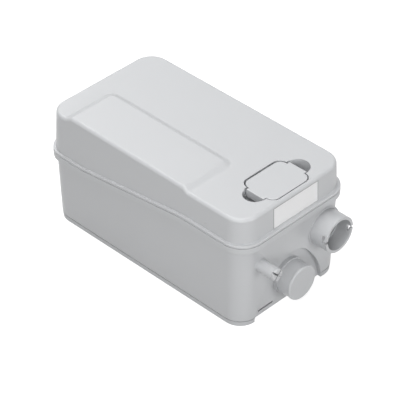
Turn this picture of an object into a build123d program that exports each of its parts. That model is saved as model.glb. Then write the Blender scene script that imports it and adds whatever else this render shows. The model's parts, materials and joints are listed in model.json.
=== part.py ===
from build123d import *
import os
from math import cos, hypot, radians, sin, sqrt, tan

# Compact grey-water lifting pump: a low moulded tank with a tall lid, a
# vertical pump hanging in it and the pipe connections on one end.
# Millimetres. The origin is the middle of the base on the floor, +Z is up and
# +X points to the end with the pipe connections. -Y is the raised-panel side.

# Tank shell
base_length = 286.0
base_width = 152.7
end_draft = 1.2
side_draft = 1.7
corner_radius = 21.6
wall = 2.5
floor_height = 7.0
floor_thickness = 2.5
foot_band_height = 6.0
foot_band_inset = 0.7
centre_foot_radius = 14.0
below_floor = -1.0

# Seam between tank and lid: low at the back, climbing to the connection end
seam_low = 90.5
seam_high = 109.2
seam_climb_start = -89.0
seam_climb_end = 60.0
seam_gap = 0.5
flange_end_reach = 6.8
flange_side_reach = 5.95
flange_length = base_length + 2 * flange_end_reach
flange_width = base_width + 2 * flange_side_reach
tank_flange_depth = 8.4
tank_flange_chamfer = 2.8
lid_flange_height = 3.5
lid_flange_chamfer = 0.8
gasket_width = 3.0
gasket_depth = 2.0
gasket_inset = 2.2
groove_clearance = 0.3

# Lid shell
lid_end_growth = 1.4
lid_side_growth = 1.95
lid_length = base_length + 2 * lid_end_growth
lid_width = base_width + 2 * lid_side_growth
lid_top = 143.2
lid_clear = 40.0
lid_draft = 2.0
lid_corner_radius = 23.5
lid_edge_radius = 4.0
lip_depth = 5.0
lip_thickness = 2.0
lip_gap = 0.6

# Raised panel over the pump half of the lid
panel_foot_back = -118.0
panel_foot_front = 67.3
panel_foot_inner = -8.0
panel_ramp = 6.0
panel_rise_back = 5.0
panel_rise_front = 4.0
panel_corner_radius = 12.0

# Filter cover in the lid, with a finger well at each end
cover_x = 117.6
cover_y = 1.5
cover_length = 43.7
cover_width = 57.4
cover_corner_radius = 9.0
cover_arm_length = 24.0
cover_arm_width = 65.4
cover_gap = 1.3
cover_plate = 2.6
cover_skirt = 2.0
cover_edge_radius = 0.5
well_radius = 12.75
well_offset = 33.1
well_depth = 14.0
well_wall = 2.0
grille_slots = 5
grille_slot_width = 3.2
grille_pitch = 6.4
grille_slot_length = 34.0
filter_gap = 0.4

# Bare rating label in its recess on the end of the lid
label_width = 66.1
label_height = 24.8
label_bottom = 113.0
label_y = 2.3
label_thickness = 0.6
label_recess = 1.2
label_gap = 0.3
label_wide_gap = 1.5

# Arched recess round the low inlet
arch_y = -3.0
arch_half_foot = 51.6
arch_crown_z = 30.3
arch_side_radius = 100.0
arch_side_y = 46.6
arch_side_z = -15.1
recess_x = 138.0
vent_slot_length = 23.0
vent_slot_y = -33.5
vent_slot_low = 5.0
vent_slot_high = 7.2

# Low inlet and its blanking plug
inlet_y = -1.0
inlet_z = 31.5
spigot_radius = 20.0
inlet_bore_radius = 17.5
inlet_end_x = 157.0
collar_radius = 21.4
collar_height = 4.5
plug_radius = 20.4
plug_head = 3.5
plug_skirt_length = 12.0
plug_skirt_wall = 3.2
plug_gap = 0.1
plug_edge_radius = 1.8
seal_radius = 0.9
seal_setback = 4.0
seal_side_gap = 0.2

# Discharge spigot with bayonet slots and its non-return valve
outlet_y = 47.4
outlet_z = 72.1
outlet_radius = 21.4
outlet_end_x = 167.0
outlet_bore_radius = 18.0
outlet_seat_x = 138.0
outlet_seat_wall = 4.0
outlet_collar_radius = 23.4
outlet_collar_height = 0.8
bayonet_width = 3.0
bayonet_depth = 6.0
bayonet_turn = 6.0
sleeve_length = 5.3
sleeve_wall = 2.4
sleeve_gap = 0.1
seat_thickness = 1.8
seat_bore_radius = 10.5
flap_radius = 12.6
flap_thickness = 1.8
flap_gap = 0.3
flap_pin_radius = 0.8
flap_pin_height = 12.4
flap_pin_length = 23.0
knuckle_radius = 1.4
knuckle_width = 8.0
pin_clearance = 0.05

# Small spigot with its slotted plug
small_y = -50.0
small_z = 76.7
small_radius = 7.5
small_bore_radius = 5.2
small_end_x = 166.0
small_collar_radius = 8.2
small_collar_x = 145.2
small_plug_head = 3.4
small_plug_radius = 7.1
small_plug_stem = 10.0
small_plug_gap = 0.08
small_slot_width = 1.6
small_slot_depth = 3.0
small_plug_edge = 1.0

# Support deck across the tank, on posts moulded in the walls
deck_level = 80.0
deck_thickness = 3.0
deck_front = 66.0
deck_gap = 0.6
deck_rim_height = 10.0
deck_rim_wall = 2.0
post_rows = (-122.0, -32.0, 56.0)
post_setback = 7.35
post_y = base_width / 2 - post_setback
post_radius = 5.5
boss_radius = 4.0
boss_depth = 6.0

# Screws
screw_radius = 2.0
screw_head_radius = 3.2
screw_head_height = 2.4
screw_slot_width = 0.8
screw_slot_depth = 1.0
screw_hole_clearance = 0.3
screw_tip_gap = 1.0
deck_screw_length = 14.0

# Motor, hanging through the deck
pump_x = -48.0
pump_y = -12.0
damper_height = 2.5
motor_flange_radius = 53.0
motor_flange_thickness = 3.0
motor_screw_circle = 49.5
housing_radius = 45.0
housing_wall = 3.0
housing_drop = 44.5
housing_rise = 33.0
housing_floor = 6.0
deck_hole_clearance = 1.0
bearing_boss_radius = 13.0
bearing_boss_height = 8.0
bearing_radius = 9.0
bearing_length = 8.0
seal_length = 4.5
bearing_clearance = 0.03
lip_seal_clearance = 0.06
shaft_radius = 4.0
shaft_chamfer = 0.5
shaft_end_gap = 1.0
motor_cover_thickness = 4.0
motor_cover_boss = 10.0
motor_cover_lid = 2.0
motor_cover_edge_radius = 1.5
cover_screw_circle = 39.2
cover_lug_radius = 3.9
cover_lug_depth = 10.0
stator_height = 35.0
stator_lift = 15.0
stator_bore_radius = 24.5
stator_slots = 12
slot_inner_radius = 27.0
slot_outer_radius = 37.0
slot_width = 6.0
slot_mouth = 2.0
coil_gap = 0.2
coil_head_height = 8.0
air_gap = 0.5
rotor_ring_height = 3.0
rotor_ring_radius = 22.0
rotor_ring_bore = 12.0

# Pump casing, impeller and strainer under the motor
casing_flange = 3.0
casing_screw_circle = 41.0
chamber_radius = 30.0
chamber_shift = 2.0
chamber_height = 17.0
casing_wall = 2.5
casing_floor = 3.0
casing_hole_depth = 5.0
eye_radius = 11.0
neck_radius = 21.5
neck_height = 2.0
casing_seal_radius = 35.5
casing_seal_section = 1.0
duct_bore_radius = 8.0
stub_radius = 11.0
stub_bore_radius = 9.0
stub_length = 22.0
impeller_radius = 24.0
shroud_thickness = 2.5
shroud_drop = 5.0
blade_count = 6
blade_height = 11.0
blade_thickness = 1.8
blade_bend_radius = 14.0
blade_sweep = 76.0
blade_offset = 6.6
hub_radius = 7.5
nut_height = 4.0
nut_across = 10.0
shaft_tip = 1.0
strainer_radius = 24.0
strainer_wall = 2.0
strainer_height = 7.0
strainer_floor = 1.5
strainer_rim = 1.0
strainer_slots = 16
strainer_slot_width = 3.0
strainer_hole_radius = 2.0
strainer_hole_circle = 11.0
strainer_holes = 8
neck_gap = 0.1

# Discharge hose and its clips
hose_wall = 3.0
hose_grip = 18.0
hose_end_gap = 1.0
hose_run = 34.0
hose_lead = 46.0
hose_bend_radius = 34.0
hose_gap = 0.05
clip_width = 8.0
clip_band = 1.0
clip_inset = 5.0
clip_lug = 5.0
clip_lug_sink = 0.3

# Pressure switch over its dip tube
switch_x = -112.0
switch_y = 40.0
dip_radius = 9.0
dip_wall = 1.5
dip_bottom = 15.0
dip_flange_radius = 16.0
dip_flange_height = 3.0
dip_hole_clearance = 0.3
switch_radius = 16.0
switch_base_height = 7.0
switch_bowl_radius = 13.0
diaphragm_radius = 14.0
diaphragm_thickness = 1.0
switch_cap_height = 7.0
plunger_radius = 2.0
plunger_foot_radius = 6.0
plunger_foot = 1.2
plunger_clearance = 0.06
plunger_travel = 1.5
plunger_proud = 1.0
bowl_depth = 4.0
microswitch_length = 20.0
microswitch_width = 8.0
microswitch_height = 10.0
microswitch_leg = 3.0
stop_clearance = 0.4

# Capacitor in its saddle, and the terminal block
capacitor_x = 34.0
capacitor_y = 42.0
capacitor_radius = 14.0
capacitor_length = 46.0
capacitor_lift = 3.0
capacitor_gap = 0.1
saddle_length = 18.0
saddle_width = 44.0
saddle_height = 9.0
strap_thickness = 1.2
saddle_edge = 1.0
tag_length = 6.0
tag_width = 6.0
tag_thickness = 0.8
tag_spread = 5.0
can_edge_radius = 1.0
terminal_x = -112.0
terminal_y = -40.0
terminal_length = 22.0
terminal_width = 34.0
terminal_height = 12.0
terminal_poles = 3
terminal_pitch = 10.0
terminal_bore = 2.2
terminal_screw_radius = 1.8
terminal_screw_length = 3.0
terminal_screw_sink = 1.0

# Cable gland through the back of the lid, with no cable in it
gland_y = 40.0
gland_z = 118.0
gland_radius = 6.0
gland_bore_radius = 4.4
gland_flange_radius = 9.5
gland_flange_height = 5.0
gland_edge_radius = 1.5
gland_reach = 15.0
gland_nut_across = 17.0
gland_nut_height = 4.0
gland_seal_bore_radius = 3.5
gland_seal_length = 8.0
gland_hole_gap = 0.2

# Levels and outlines that follow from the sizes above
floor_top = floor_height + floor_thickness
deck_top = deck_level + deck_thickness
flange_corner = corner_radius + (flange_length - base_length) / 2 - seam_high * tan(radians(end_draft))
above_all = lid_top + lid_clear
reach = flange_length
cover_bottom = lid_top - well_depth
motor_flange_bottom = deck_top + damper_height
motor_flange_top = motor_flange_bottom + motor_flange_thickness
housing_bottom = motor_flange_bottom - housing_drop
housing_top = motor_flange_bottom + housing_rise
housing_bore = housing_radius - housing_wall
stator_bottom = housing_bottom + housing_floor + stator_lift
stator_top = stator_bottom + stator_height
rotor_radius = stator_bore_radius - air_gap
seal_bottom = housing_bottom
lower_bearing_bottom = seal_bottom + seal_length
upper_bearing_top = housing_top + motor_cover_thickness - motor_cover_lid
upper_bearing_bottom = upper_bearing_top - bearing_length
chamber_top = housing_bottom - casing_flange
chamber_bottom = chamber_top - chamber_height
casing_bottom = chamber_bottom - casing_floor
impeller_top = housing_bottom - shroud_drop
blade_bottom = impeller_top - shroud_thickness - blade_height
nut_bottom = blade_bottom - nut_height / 2
shaft_bottom = nut_bottom - shaft_tip
duct_y = pump_y + chamber_radius + chamber_shift - duct_bore_radius
duct_z = chamber_bottom + chamber_height / 2
hose_start_x = pump_x + housing_radius + hose_end_gap
duct_end_x = hose_start_x + hose_grip
stub_back_x = outlet_seat_x - outlet_seat_wall
stub_end_x = stub_back_x - stub_length
hose_bore = stub_radius + hose_gap
post_points = [(x, side * post_y) for x in post_rows for side in (-1, 1)]
post_roots = [(x, side * base_width / 2) for x in post_rows for side in (-1, 1)]


def tank_plan(height, inset):
    """Length and width of the tank wall at one height, inside the inset."""
    length = base_length + 2 * height * tan(radians(end_draft)) - 2 * inset
    width = base_width + 2 * height * tan(radians(side_draft)) - 2 * inset
    return length, width, corner_radius - inset


def lid_plan(height, inset):
    """Length and width of the lid wall at one height, inside the inset."""
    flare = (lid_top - height) * tan(radians(lid_draft)) - inset
    return lid_length + 2 * flare, lid_width + 2 * flare, lid_corner_radius - inset


def drafted_block(plan, low, high, inset):
    """Solid between two heights that follows a drafted wall."""
    with BuildPart() as block:
        with BuildSketch(Plane.XY.offset(low)):
            RectangleRounded(*plan(low, inset))
        with BuildSketch(Plane.XY.offset(high)):
            RectangleRounded(*plan(high, inset))
        loft(ruled=True)
    return block.part


def over_seam(rise):
    """Everything above the seam raised by the given amount."""
    with BuildPart() as block:
        with BuildSketch(Plane.XZ):
            with BuildLine():
                Polyline(
                    (-reach, seam_low + rise),
                    (seam_climb_start, seam_low + rise),
                    (seam_climb_end, seam_high + rise),
                    (reach, seam_high + rise),
                    (reach, above_all + reach),
                    (-reach, above_all + reach),
                    close=True,
                )
            make_face()
        extrude(amount=reach, both=True)
    return block.part


def flange_block(inset, low, high):
    """Upright block of the flange outline between two seam rises."""
    with BuildPart() as block:
        with BuildSketch(Plane.XY):
            RectangleRounded(
                flange_length - 2 * inset,
                flange_width - 2 * inset,
                flange_corner - inset,
            )
        extrude(amount=above_all)
        add(over_seam_blocks[low], mode=Mode.INTERSECT)
        add(over_seam_blocks[high], mode=Mode.SUBTRACT)
    return block.part


def outer_rim(part, side):
    """Edges round the upper (side 1) or lower (side -1) faces of a flange block."""
    rim_faces = part.faces().filter_by(lambda face: face.normal_at().Z * side > 0.5)
    inner = seam_climb_end - seam_climb_start
    return rim_faces.edges().filter_by(
        lambda edge: abs(edge.center().Y) > 1 or abs(edge.center().X) > inner
    )


def arch_outline(inset):
    """Arch profile in Y and Z: upright feet, two flat side arcs and a round crown."""
    side_radius = arch_side_radius + inset
    span = hypot(arch_side_y, arch_crown_z - arch_side_z)
    foot_y = arch_half_foot + inset
    foot_z = arch_side_z + sqrt(side_radius**2 - (foot_y + arch_side_y) ** 2)
    shoulder_y = side_radius * arch_side_y / span - arch_side_y
    shoulder_z = side_radius * (arch_crown_z - arch_side_z) / span + arch_side_z
    middle_z = (foot_z + shoulder_z) / 2
    middle_y = sqrt(side_radius**2 - (middle_z - arch_side_z) ** 2) - arch_side_y
    apex_z = arch_crown_z + side_radius - span
    with BuildSketch() as outline:
        with BuildLine():
            Polyline((foot_y, foot_z), (foot_y, 0), (-foot_y, 0), (-foot_y, foot_z))
            ThreePointArc((-foot_y, foot_z), (-middle_y, middle_z), (-shoulder_y, shoulder_z))
            ThreePointArc((-shoulder_y, shoulder_z), (0, apex_z), (shoulder_y, shoulder_z))
            ThreePointArc((shoulder_y, shoulder_z), (middle_y, middle_z), (foot_y, foot_z))
        make_face()
    return outline.sketch


def end_plane(x, y, z):
    """Plane that faces the connection end, with Y across and Z up."""
    return Plane(origin=(x, y, z), x_dir=(0, 1, 0), z_dir=(1, 0, 0))


def pump_plane(height):
    """Level plane centred on the pump axis."""
    return Plane(origin=(pump_x, pump_y, height))


def slotted_screws(plane, points, length):
    """A set of equal slotted pan-head screws, heads standing on the plane."""
    with BuildPart(plane) as screws:
        with Locations(*points):
            Cylinder(screw_head_radius, screw_head_height, align=(Align.CENTER, Align.CENTER, Align.MIN))
            Cylinder(screw_radius, length, align=(Align.CENTER, Align.CENTER, Align.MAX))
            with Locations((0, 0, screw_head_height)):
                Box(
                    2 * screw_head_radius,
                    screw_slot_width,
                    screw_slot_depth,
                    align=(Align.CENTER, Align.CENTER, Align.MAX),
                    mode=Mode.SUBTRACT,
                )
    return screws


def circle_points(radius, count, start=0.0):
    """Points spread evenly on a circle."""
    angles = [radians(start + 360 * index / count) for index in range(count)]
    return [(radius * cos(angle), radius * sin(angle)) for angle in angles]


def cover_outline(gap):
    """Filter cover seen from above, grown by a gap all round."""
    with BuildSketch(Plane.XY) as outline:
        with Locations((cover_x, cover_y)):
            RectangleRounded(cover_length + 2 * gap, cover_width + 2 * gap, cover_corner_radius + gap)
            Rectangle(cover_arm_length + 2 * gap, cover_arm_width + 2 * gap)
    return outline.sketch


seam_rises = (
    -tank_flange_depth,
    -lip_depth,
    -gasket_depth,
    0.0,
    seam_gap,
    lip_thickness + seam_gap,
    lid_flange_height,
)
over_seam_blocks = {rise: over_seam(rise) for rise in seam_rises}

# Tank: drafted walls, flange, posts, arched recess and the three spigots
with BuildPart() as arch_block:
    with BuildSketch(end_plane(recess_x - wall, arch_y, 0)):
        add(arch_outline(wall))
    extrude(amount=reach - recess_x)

with BuildPart() as arch_cut:
    with BuildSketch(end_plane(recess_x, arch_y, 0)):
        add(arch_outline(0.0))
    extrude(amount=reach - recess_x)

with BuildPart() as posts:
    with BuildSketch(Plane.XY.offset(floor_height)):
        with Locations(*post_points):
            Circle(post_radius)
        with Locations(*post_roots):
            Rectangle(2 * post_radius, base_width - 2 * post_y)
    extrude(amount=deck_level - floor_height)

with BuildPart() as tank_hollow:
    add(drafted_block(tank_plan, floor_top, above_all, wall))
    add(posts.part, mode=Mode.SUBTRACT)
    add(arch_block.part, mode=Mode.SUBTRACT)
    with BuildSketch(end_plane(stub_back_x, outlet_y, outlet_z)):
        Circle(outlet_bore_radius + wall)
    extrude(amount=reach - stub_back_x, mode=Mode.SUBTRACT)
    with BuildSketch(end_plane(stub_end_x, outlet_y, outlet_z)):
        Circle(stub_radius)
    extrude(amount=stub_length + wall, mode=Mode.SUBTRACT)

with BuildPart() as base_hollow:
    add(drafted_block(tank_plan, below_floor, floor_height, wall + foot_band_inset))
    add(arch_block.part, mode=Mode.SUBTRACT)
    with BuildSketch(Plane.XY.offset(below_floor)):
        Circle(centre_foot_radius)
    extrude(amount=floor_height - below_floor, mode=Mode.SUBTRACT)

with BuildPart() as foot_band:
    add(drafted_block(tank_plan, below_floor, foot_band_height, -wall))
    add(drafted_block(tank_plan, below_floor, foot_band_height, foot_band_inset), mode=Mode.SUBTRACT)

with BuildPart() as tank_flange:
    add(flange_block(0.0, -tank_flange_depth, 0.0))
    chamfer(outer_rim(tank_flange, -1), tank_flange_chamfer)

with BuildPart() as tank:
    add(drafted_block(tank_plan, 0.0, above_all, 0.0))
    add(over_seam_blocks[0.0], mode=Mode.SUBTRACT)
    add(foot_band.part, mode=Mode.SUBTRACT)
    add(tank_flange.part)
    add(arch_cut.part, mode=Mode.SUBTRACT)
    with BuildSketch(end_plane(recess_x - wall, inlet_y, inlet_z)):
        Circle(spigot_radius)
    extrude(amount=inlet_end_x - recess_x + wall)
    with BuildSketch(end_plane(recess_x - wall, inlet_y, inlet_z)):
        Circle(collar_radius)
    extrude(amount=wall + collar_height)
    with BuildSketch(end_plane(recess_x, outlet_y, outlet_z)):
        Circle(outlet_radius)
    extrude(amount=outlet_end_x - recess_x)
    with BuildSketch(end_plane(recess_x, outlet_y, outlet_z)):
        Circle(outlet_collar_radius)
    extrude(amount=base_length / 2 + outlet_z * tan(radians(end_draft)) + outlet_collar_height - recess_x)
    with BuildSketch(end_plane(recess_x, small_y, small_z)):
        Circle(small_radius)
    extrude(amount=small_end_x - recess_x)
    with BuildSketch(end_plane(recess_x, small_y, small_z)):
        Circle(small_collar_radius)
    extrude(amount=small_collar_x - recess_x)
    add(tank_hollow.part, mode=Mode.SUBTRACT)
    add(base_hollow.part, mode=Mode.SUBTRACT)
    add(flange_block(gasket_inset - groove_clearance, -gasket_depth, 0.0), mode=Mode.SUBTRACT)
    add(flange_block(gasket_inset + gasket_width + groove_clearance, -gasket_depth, 0.0))
    add(tank_hollow.part, mode=Mode.SUBTRACT)
    with BuildSketch(end_plane(recess_x - 2 * wall, inlet_y, inlet_z)):
        Circle(inlet_bore_radius)
    extrude(amount=reach, mode=Mode.SUBTRACT)
    with BuildSketch(end_plane(outlet_seat_x, outlet_y, outlet_z)):
        Circle(outlet_bore_radius)
    extrude(amount=reach, mode=Mode.SUBTRACT)
    with BuildSketch(end_plane(stub_end_x, outlet_y, outlet_z)):
        Circle(stub_bore_radius)
    extrude(amount=reach, mode=Mode.SUBTRACT)
    with BuildSketch(end_plane(recess_x - 2 * wall, small_y, small_z)):
        Circle(small_bore_radius)
    extrude(amount=reach, mode=Mode.SUBTRACT)
    for side in (-1, 1):
        slot_x = outlet_end_x - bayonet_depth
        with BuildSketch(end_plane(slot_x, outlet_y, outlet_z)):
            with Locations((side * outlet_radius, 0)):
                Rectangle(outlet_radius, bayonet_width)
        extrude(amount=reach, mode=Mode.SUBTRACT)
        with BuildSketch(end_plane(slot_x, outlet_y, outlet_z)):
            with Locations((side * outlet_radius, -side * bayonet_turn / 2)):
                Rectangle(outlet_radius, bayonet_turn + bayonet_width)
        extrude(amount=bayonet_width, mode=Mode.SUBTRACT)
    with BuildSketch(end_plane(recess_x - 2 * wall, vent_slot_y, (vent_slot_low + vent_slot_high) / 2)):
        Rectangle(vent_slot_length, vent_slot_high - vent_slot_low)
    extrude(amount=4 * wall, mode=Mode.SUBTRACT)
    with BuildSketch(Plane.XY.offset(deck_level)):
        with Locations(*post_points):
            Circle(screw_radius)
    extrude(amount=-deck_screw_length, mode=Mode.SUBTRACT)
tank.part.label = "tank"

# Lid gasket in the groove of the tank flange
with BuildPart() as lid_gasket:
    add(flange_block(gasket_inset, -gasket_depth, seam_gap))
    add(flange_block(gasket_inset + gasket_width, -gasket_depth, seam_gap), mode=Mode.SUBTRACT)
lid_gasket.part.label = "lid_gasket"

# Lid: drafted walls with a rounded top edge, the raised panel, the flange,
# a locating lip that enters the tank, and the filter pocket
panel_crest_back = panel_foot_back + panel_ramp
panel_crest_front = panel_foot_front - panel_ramp
panel_slope = (panel_rise_back - panel_rise_front) / (panel_crest_front - panel_crest_back)
panel_plane = Plane(
    origin=(panel_crest_back, 0, lid_top + panel_rise_back),
    x_dir=(1, 0, -panel_slope),
    z_dir=(panel_slope, 0, 1),
)


def panel_outline(plane, back, front, inner, radius):
    """Panel outline with two round inner corners, open past the lid's near side."""
    with BuildSketch(plane) as outline:
        with BuildLine():
            Polyline(
                (back, inner - radius),
                (back, -lid_width),
                (front, -lid_width),
                (front, inner - radius),
            )
            RadiusArc((front, inner - radius), (front - radius, inner), -radius)
            Line((front - radius, inner), (back + radius, inner))
            RadiusArc((back + radius, inner), (back, inner - radius), -radius)
        make_face()
    return outline.sketch


panel_foot = panel_outline(
    Plane.XY.offset(lid_top),
    panel_foot_back,
    panel_foot_front,
    panel_foot_inner,
    panel_corner_radius,
)
panel_crest = panel_outline(
    panel_plane,
    0.0,
    (panel_crest_front - panel_crest_back) * sqrt(1 + panel_slope**2),
    panel_foot_inner - panel_ramp,
    panel_corner_radius - panel_ramp / 2,
)

with BuildPart() as panel_region:
    add(panel_foot)
    extrude(amount=-2 * lid_edge_radius)
    add(panel_foot)
    add(panel_crest)
    loft(ruled=True)

with BuildPart() as panel_block:
    add(drafted_block(lid_plan, lid_top - 2 * lid_edge_radius, above_all, 0.0))
    split(bisect_by=panel_plane, keep=Keep.BOTTOM)
    fillet(panel_block.faces().sort_by(Axis.Z)[-1].edges(), lid_edge_radius)
    add(panel_region.part, mode=Mode.INTERSECT)

with BuildPart() as lid_flange:
    add(flange_block(0.0, seam_gap, lid_flange_height))
    chamfer(outer_rim(lid_flange, 1), lid_flange_chamfer)

with BuildPart() as lid_lip:
    add(drafted_block(tank_plan, seam_low - 2 * lip_depth, lid_top, wall + lip_gap))
    add(over_seam_blocks[-lip_depth], mode=Mode.INTERSECT)
    add(over_seam_blocks[lip_thickness + seam_gap], mode=Mode.SUBTRACT)

with BuildPart() as lip_hollow:
    add(drafted_block(tank_plan, seam_low - 2 * lip_depth, lid_top, wall + lip_gap + lip_thickness))
    add(over_seam_blocks[lip_thickness + seam_gap], mode=Mode.SUBTRACT)

with BuildPart() as lid_hollow:
    add(drafted_block(lid_plan, seam_low - lip_depth, lid_top - wall, wall))
    add(over_seam_blocks[lip_thickness + seam_gap], mode=Mode.INTERSECT)

with BuildPart() as panel_hollow:
    with BuildSketch(Plane.XZ.offset(-panel_foot_inner + panel_ramp + wall)):
        with BuildLine():
            Polyline(
                (panel_crest_back + wall, lid_top - 2 * wall),
                (panel_crest_back + wall, lid_top + panel_rise_back - panel_slope * wall - wall),
                (panel_crest_front - wall, lid_top + panel_rise_front + panel_slope * wall - wall),
                (panel_crest_front - wall, lid_top - 2 * wall),
                close=True,
            )
        make_face()
    extrude(amount=lid_width / 2 - lid_edge_radius - wall + panel_foot_inner - panel_ramp - wall)

with BuildPart() as filter_box:
    with BuildSketch(Plane.XY.offset(cover_bottom - well_wall)):
        add(cover_outline(cover_gap + well_wall))
        with Locations((cover_x, cover_y - well_offset), (cover_x, cover_y + well_offset)):
            Circle(well_radius + well_wall)
    extrude(amount=well_depth + well_wall - wall / 2)

label_tilt = radians(lid_draft)
label_shift = (label_wide_gap - label_gap) / 2
label_z = label_bottom + label_height / 2
label_x = lid_length / 2 + (lid_top - label_z) * tan(label_tilt)
label_plane = Plane(
    origin=(label_x, label_y, label_z),
    x_dir=(0, 1, 0),
    z_dir=(cos(label_tilt), 0, sin(label_tilt)),
)

with BuildPart() as lid:
    add(drafted_block(lid_plan, seam_low - lip_depth, lid_top, 0.0))
    fillet(lid.faces().sort_by(Axis.Z)[-1].edges(), lid_edge_radius)
    add(over_seam_blocks[seam_gap], mode=Mode.INTERSECT)
    add(panel_block.part)
    add(lid_flange.part)
    add(lid_lip.part)
    add(lip_hollow.part, mode=Mode.SUBTRACT)
    add(lid_hollow.part, mode=Mode.SUBTRACT)
    add(panel_hollow.part, mode=Mode.SUBTRACT)
    add(filter_box.part)
    with BuildSketch(Plane.XY.offset(cover_bottom)):
        add(cover_outline(cover_gap))
        with Locations((cover_x, cover_y - well_offset), (cover_x, cover_y + well_offset)):
            Circle(well_radius)
    extrude(amount=reach, mode=Mode.SUBTRACT)
    with BuildSketch(Plane.XY.offset(cover_bottom)):
        with Locations((cover_x, cover_y)):
            with GridLocations(grille_pitch, 0, grille_slots, 1):
                SlotOverall(grille_slot_length, grille_slot_width, rotation=90)
    extrude(amount=-2 * well_wall, mode=Mode.SUBTRACT)
    with BuildSketch(label_plane):
        with Locations((-label_shift, label_shift)):
            Rectangle(label_width + label_gap + label_wide_gap, label_height + label_gap + label_wide_gap)
    extrude(amount=-label_recess, mode=Mode.SUBTRACT)
    with BuildSketch(Plane.YZ.offset(-reach)):
        with Locations((gland_y, gland_z)):
            Circle(gland_radius + gland_hole_gap)
    extrude(amount=reach - lid_length / 2 + 2 * wall, mode=Mode.SUBTRACT)
lid.part.label = "lid"

# Bare rating label
with BuildPart() as rating_label:
    with BuildSketch(label_plane.offset(-label_recess)):
        Rectangle(label_width, label_height)
    extrude(amount=label_thickness)
rating_label.part.label = "rating_label"

# Filter cover: a plate with a deep skirt that stands on the pocket floor
with BuildPart() as filter_cover:
    with BuildSketch(Plane.XY.offset(cover_bottom)):
        add(cover_outline(0.0))
    extrude(amount=well_depth)
    with BuildSketch(Plane.XY.offset(cover_bottom)):
        with Locations((cover_x, cover_y)):
            Rectangle(cover_length - 2 * cover_skirt, cover_width - 4 * cover_skirt)
    extrude(amount=well_depth - cover_plate, mode=Mode.SUBTRACT)
    fillet(filter_cover.faces().sort_by(Axis.Z)[-1].edges(), cover_edge_radius)
filter_cover.part.label = "filter_cover"

# Charcoal filter pad inside the cover, over the grille
with BuildPart() as carbon_filter:
    with BuildSketch(Plane.XY.offset(cover_bottom)):
        with Locations((cover_x, cover_y)):
            Rectangle(
                cover_length - 2 * cover_skirt - 2 * filter_gap,
                cover_width - 4 * cover_skirt - 2 * filter_gap,
            )
    extrude(amount=well_depth - cover_plate - filter_gap)
carbon_filter.part.label = "carbon_filter"

# Blanking plug in the low inlet, with a ring seal in its skirt
plug_skirt_radius = inlet_bore_radius - plug_gap
seal_x = inlet_end_x - plug_skirt_length + seal_setback
seal_circle = plug_skirt_radius - seal_radius

with BuildPart() as inlet_plug:
    with BuildSketch(end_plane(inlet_end_x, inlet_y, inlet_z)):
        Circle(plug_radius)
    extrude(amount=plug_head)
    fillet(inlet_plug.faces().sort_by(Axis.X)[-1].edges(), plug_edge_radius)
    with BuildSketch(end_plane(inlet_end_x, inlet_y, inlet_z)):
        Circle(plug_skirt_radius)
    extrude(amount=-plug_skirt_length)
    with BuildSketch(end_plane(inlet_end_x, inlet_y, inlet_z)):
        Circle(plug_skirt_radius - plug_skirt_wall)
    extrude(amount=-plug_skirt_length, mode=Mode.SUBTRACT)
    with BuildSketch(end_plane(seal_x - seal_radius - seal_side_gap, inlet_y, inlet_z)):
        Circle(inlet_bore_radius)
        Circle(seal_circle - seal_radius, mode=Mode.SUBTRACT)
    extrude(amount=2 * (seal_radius + seal_side_gap), mode=Mode.SUBTRACT)
inlet_plug.part.label = "inlet_plug"

with BuildPart() as inlet_plug_seal:
    with BuildSketch(Plane.XZ.offset(-inlet_y)):
        with Locations((seal_x, inlet_z + seal_circle)):
            Circle(seal_radius)
    revolve(axis=Axis((seal_x, inlet_y, inlet_z), (1, 0, 0)))
inlet_plug_seal.part.label = "inlet_plug_seal"

# Non-return valve: a sleeve with a seat, a hinge pin and the flap
sleeve_radius = outlet_bore_radius - sleeve_gap
seat_face_x = outlet_seat_x + seat_thickness
flap_back_x = seat_face_x + flap_gap
pin_x = flap_back_x + knuckle_radius + flap_gap
pin_z = outlet_z + flap_pin_height

with BuildPart() as valve_sleeve:
    with BuildSketch(end_plane(outlet_seat_x, outlet_y, outlet_z)):
        Circle(sleeve_radius)
    extrude(amount=sleeve_length)
    with BuildSketch(end_plane(seat_face_x, outlet_y, outlet_z)):
        Circle(sleeve_radius - sleeve_wall)
    extrude(amount=sleeve_length, mode=Mode.SUBTRACT)
    with BuildSketch(end_plane(outlet_seat_x, outlet_y, outlet_z)):
        Circle(seat_bore_radius)
    extrude(amount=sleeve_length, mode=Mode.SUBTRACT)
    with BuildSketch(Plane.XZ.offset(-outlet_y)):
        with Locations((pin_x, pin_z)):
            Circle(flap_pin_radius)
    extrude(amount=flap_pin_length / 2, both=True, mode=Mode.SUBTRACT)
valve_sleeve.part.label = "valve_sleeve"

with BuildPart() as flap_pin:
    with BuildSketch(Plane.XZ.offset(-outlet_y)):
        with Locations((pin_x, pin_z)):
            Circle(flap_pin_radius)
    extrude(amount=flap_pin_length / 2, both=True)
flap_pin.part.label = "flap_pin"

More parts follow.
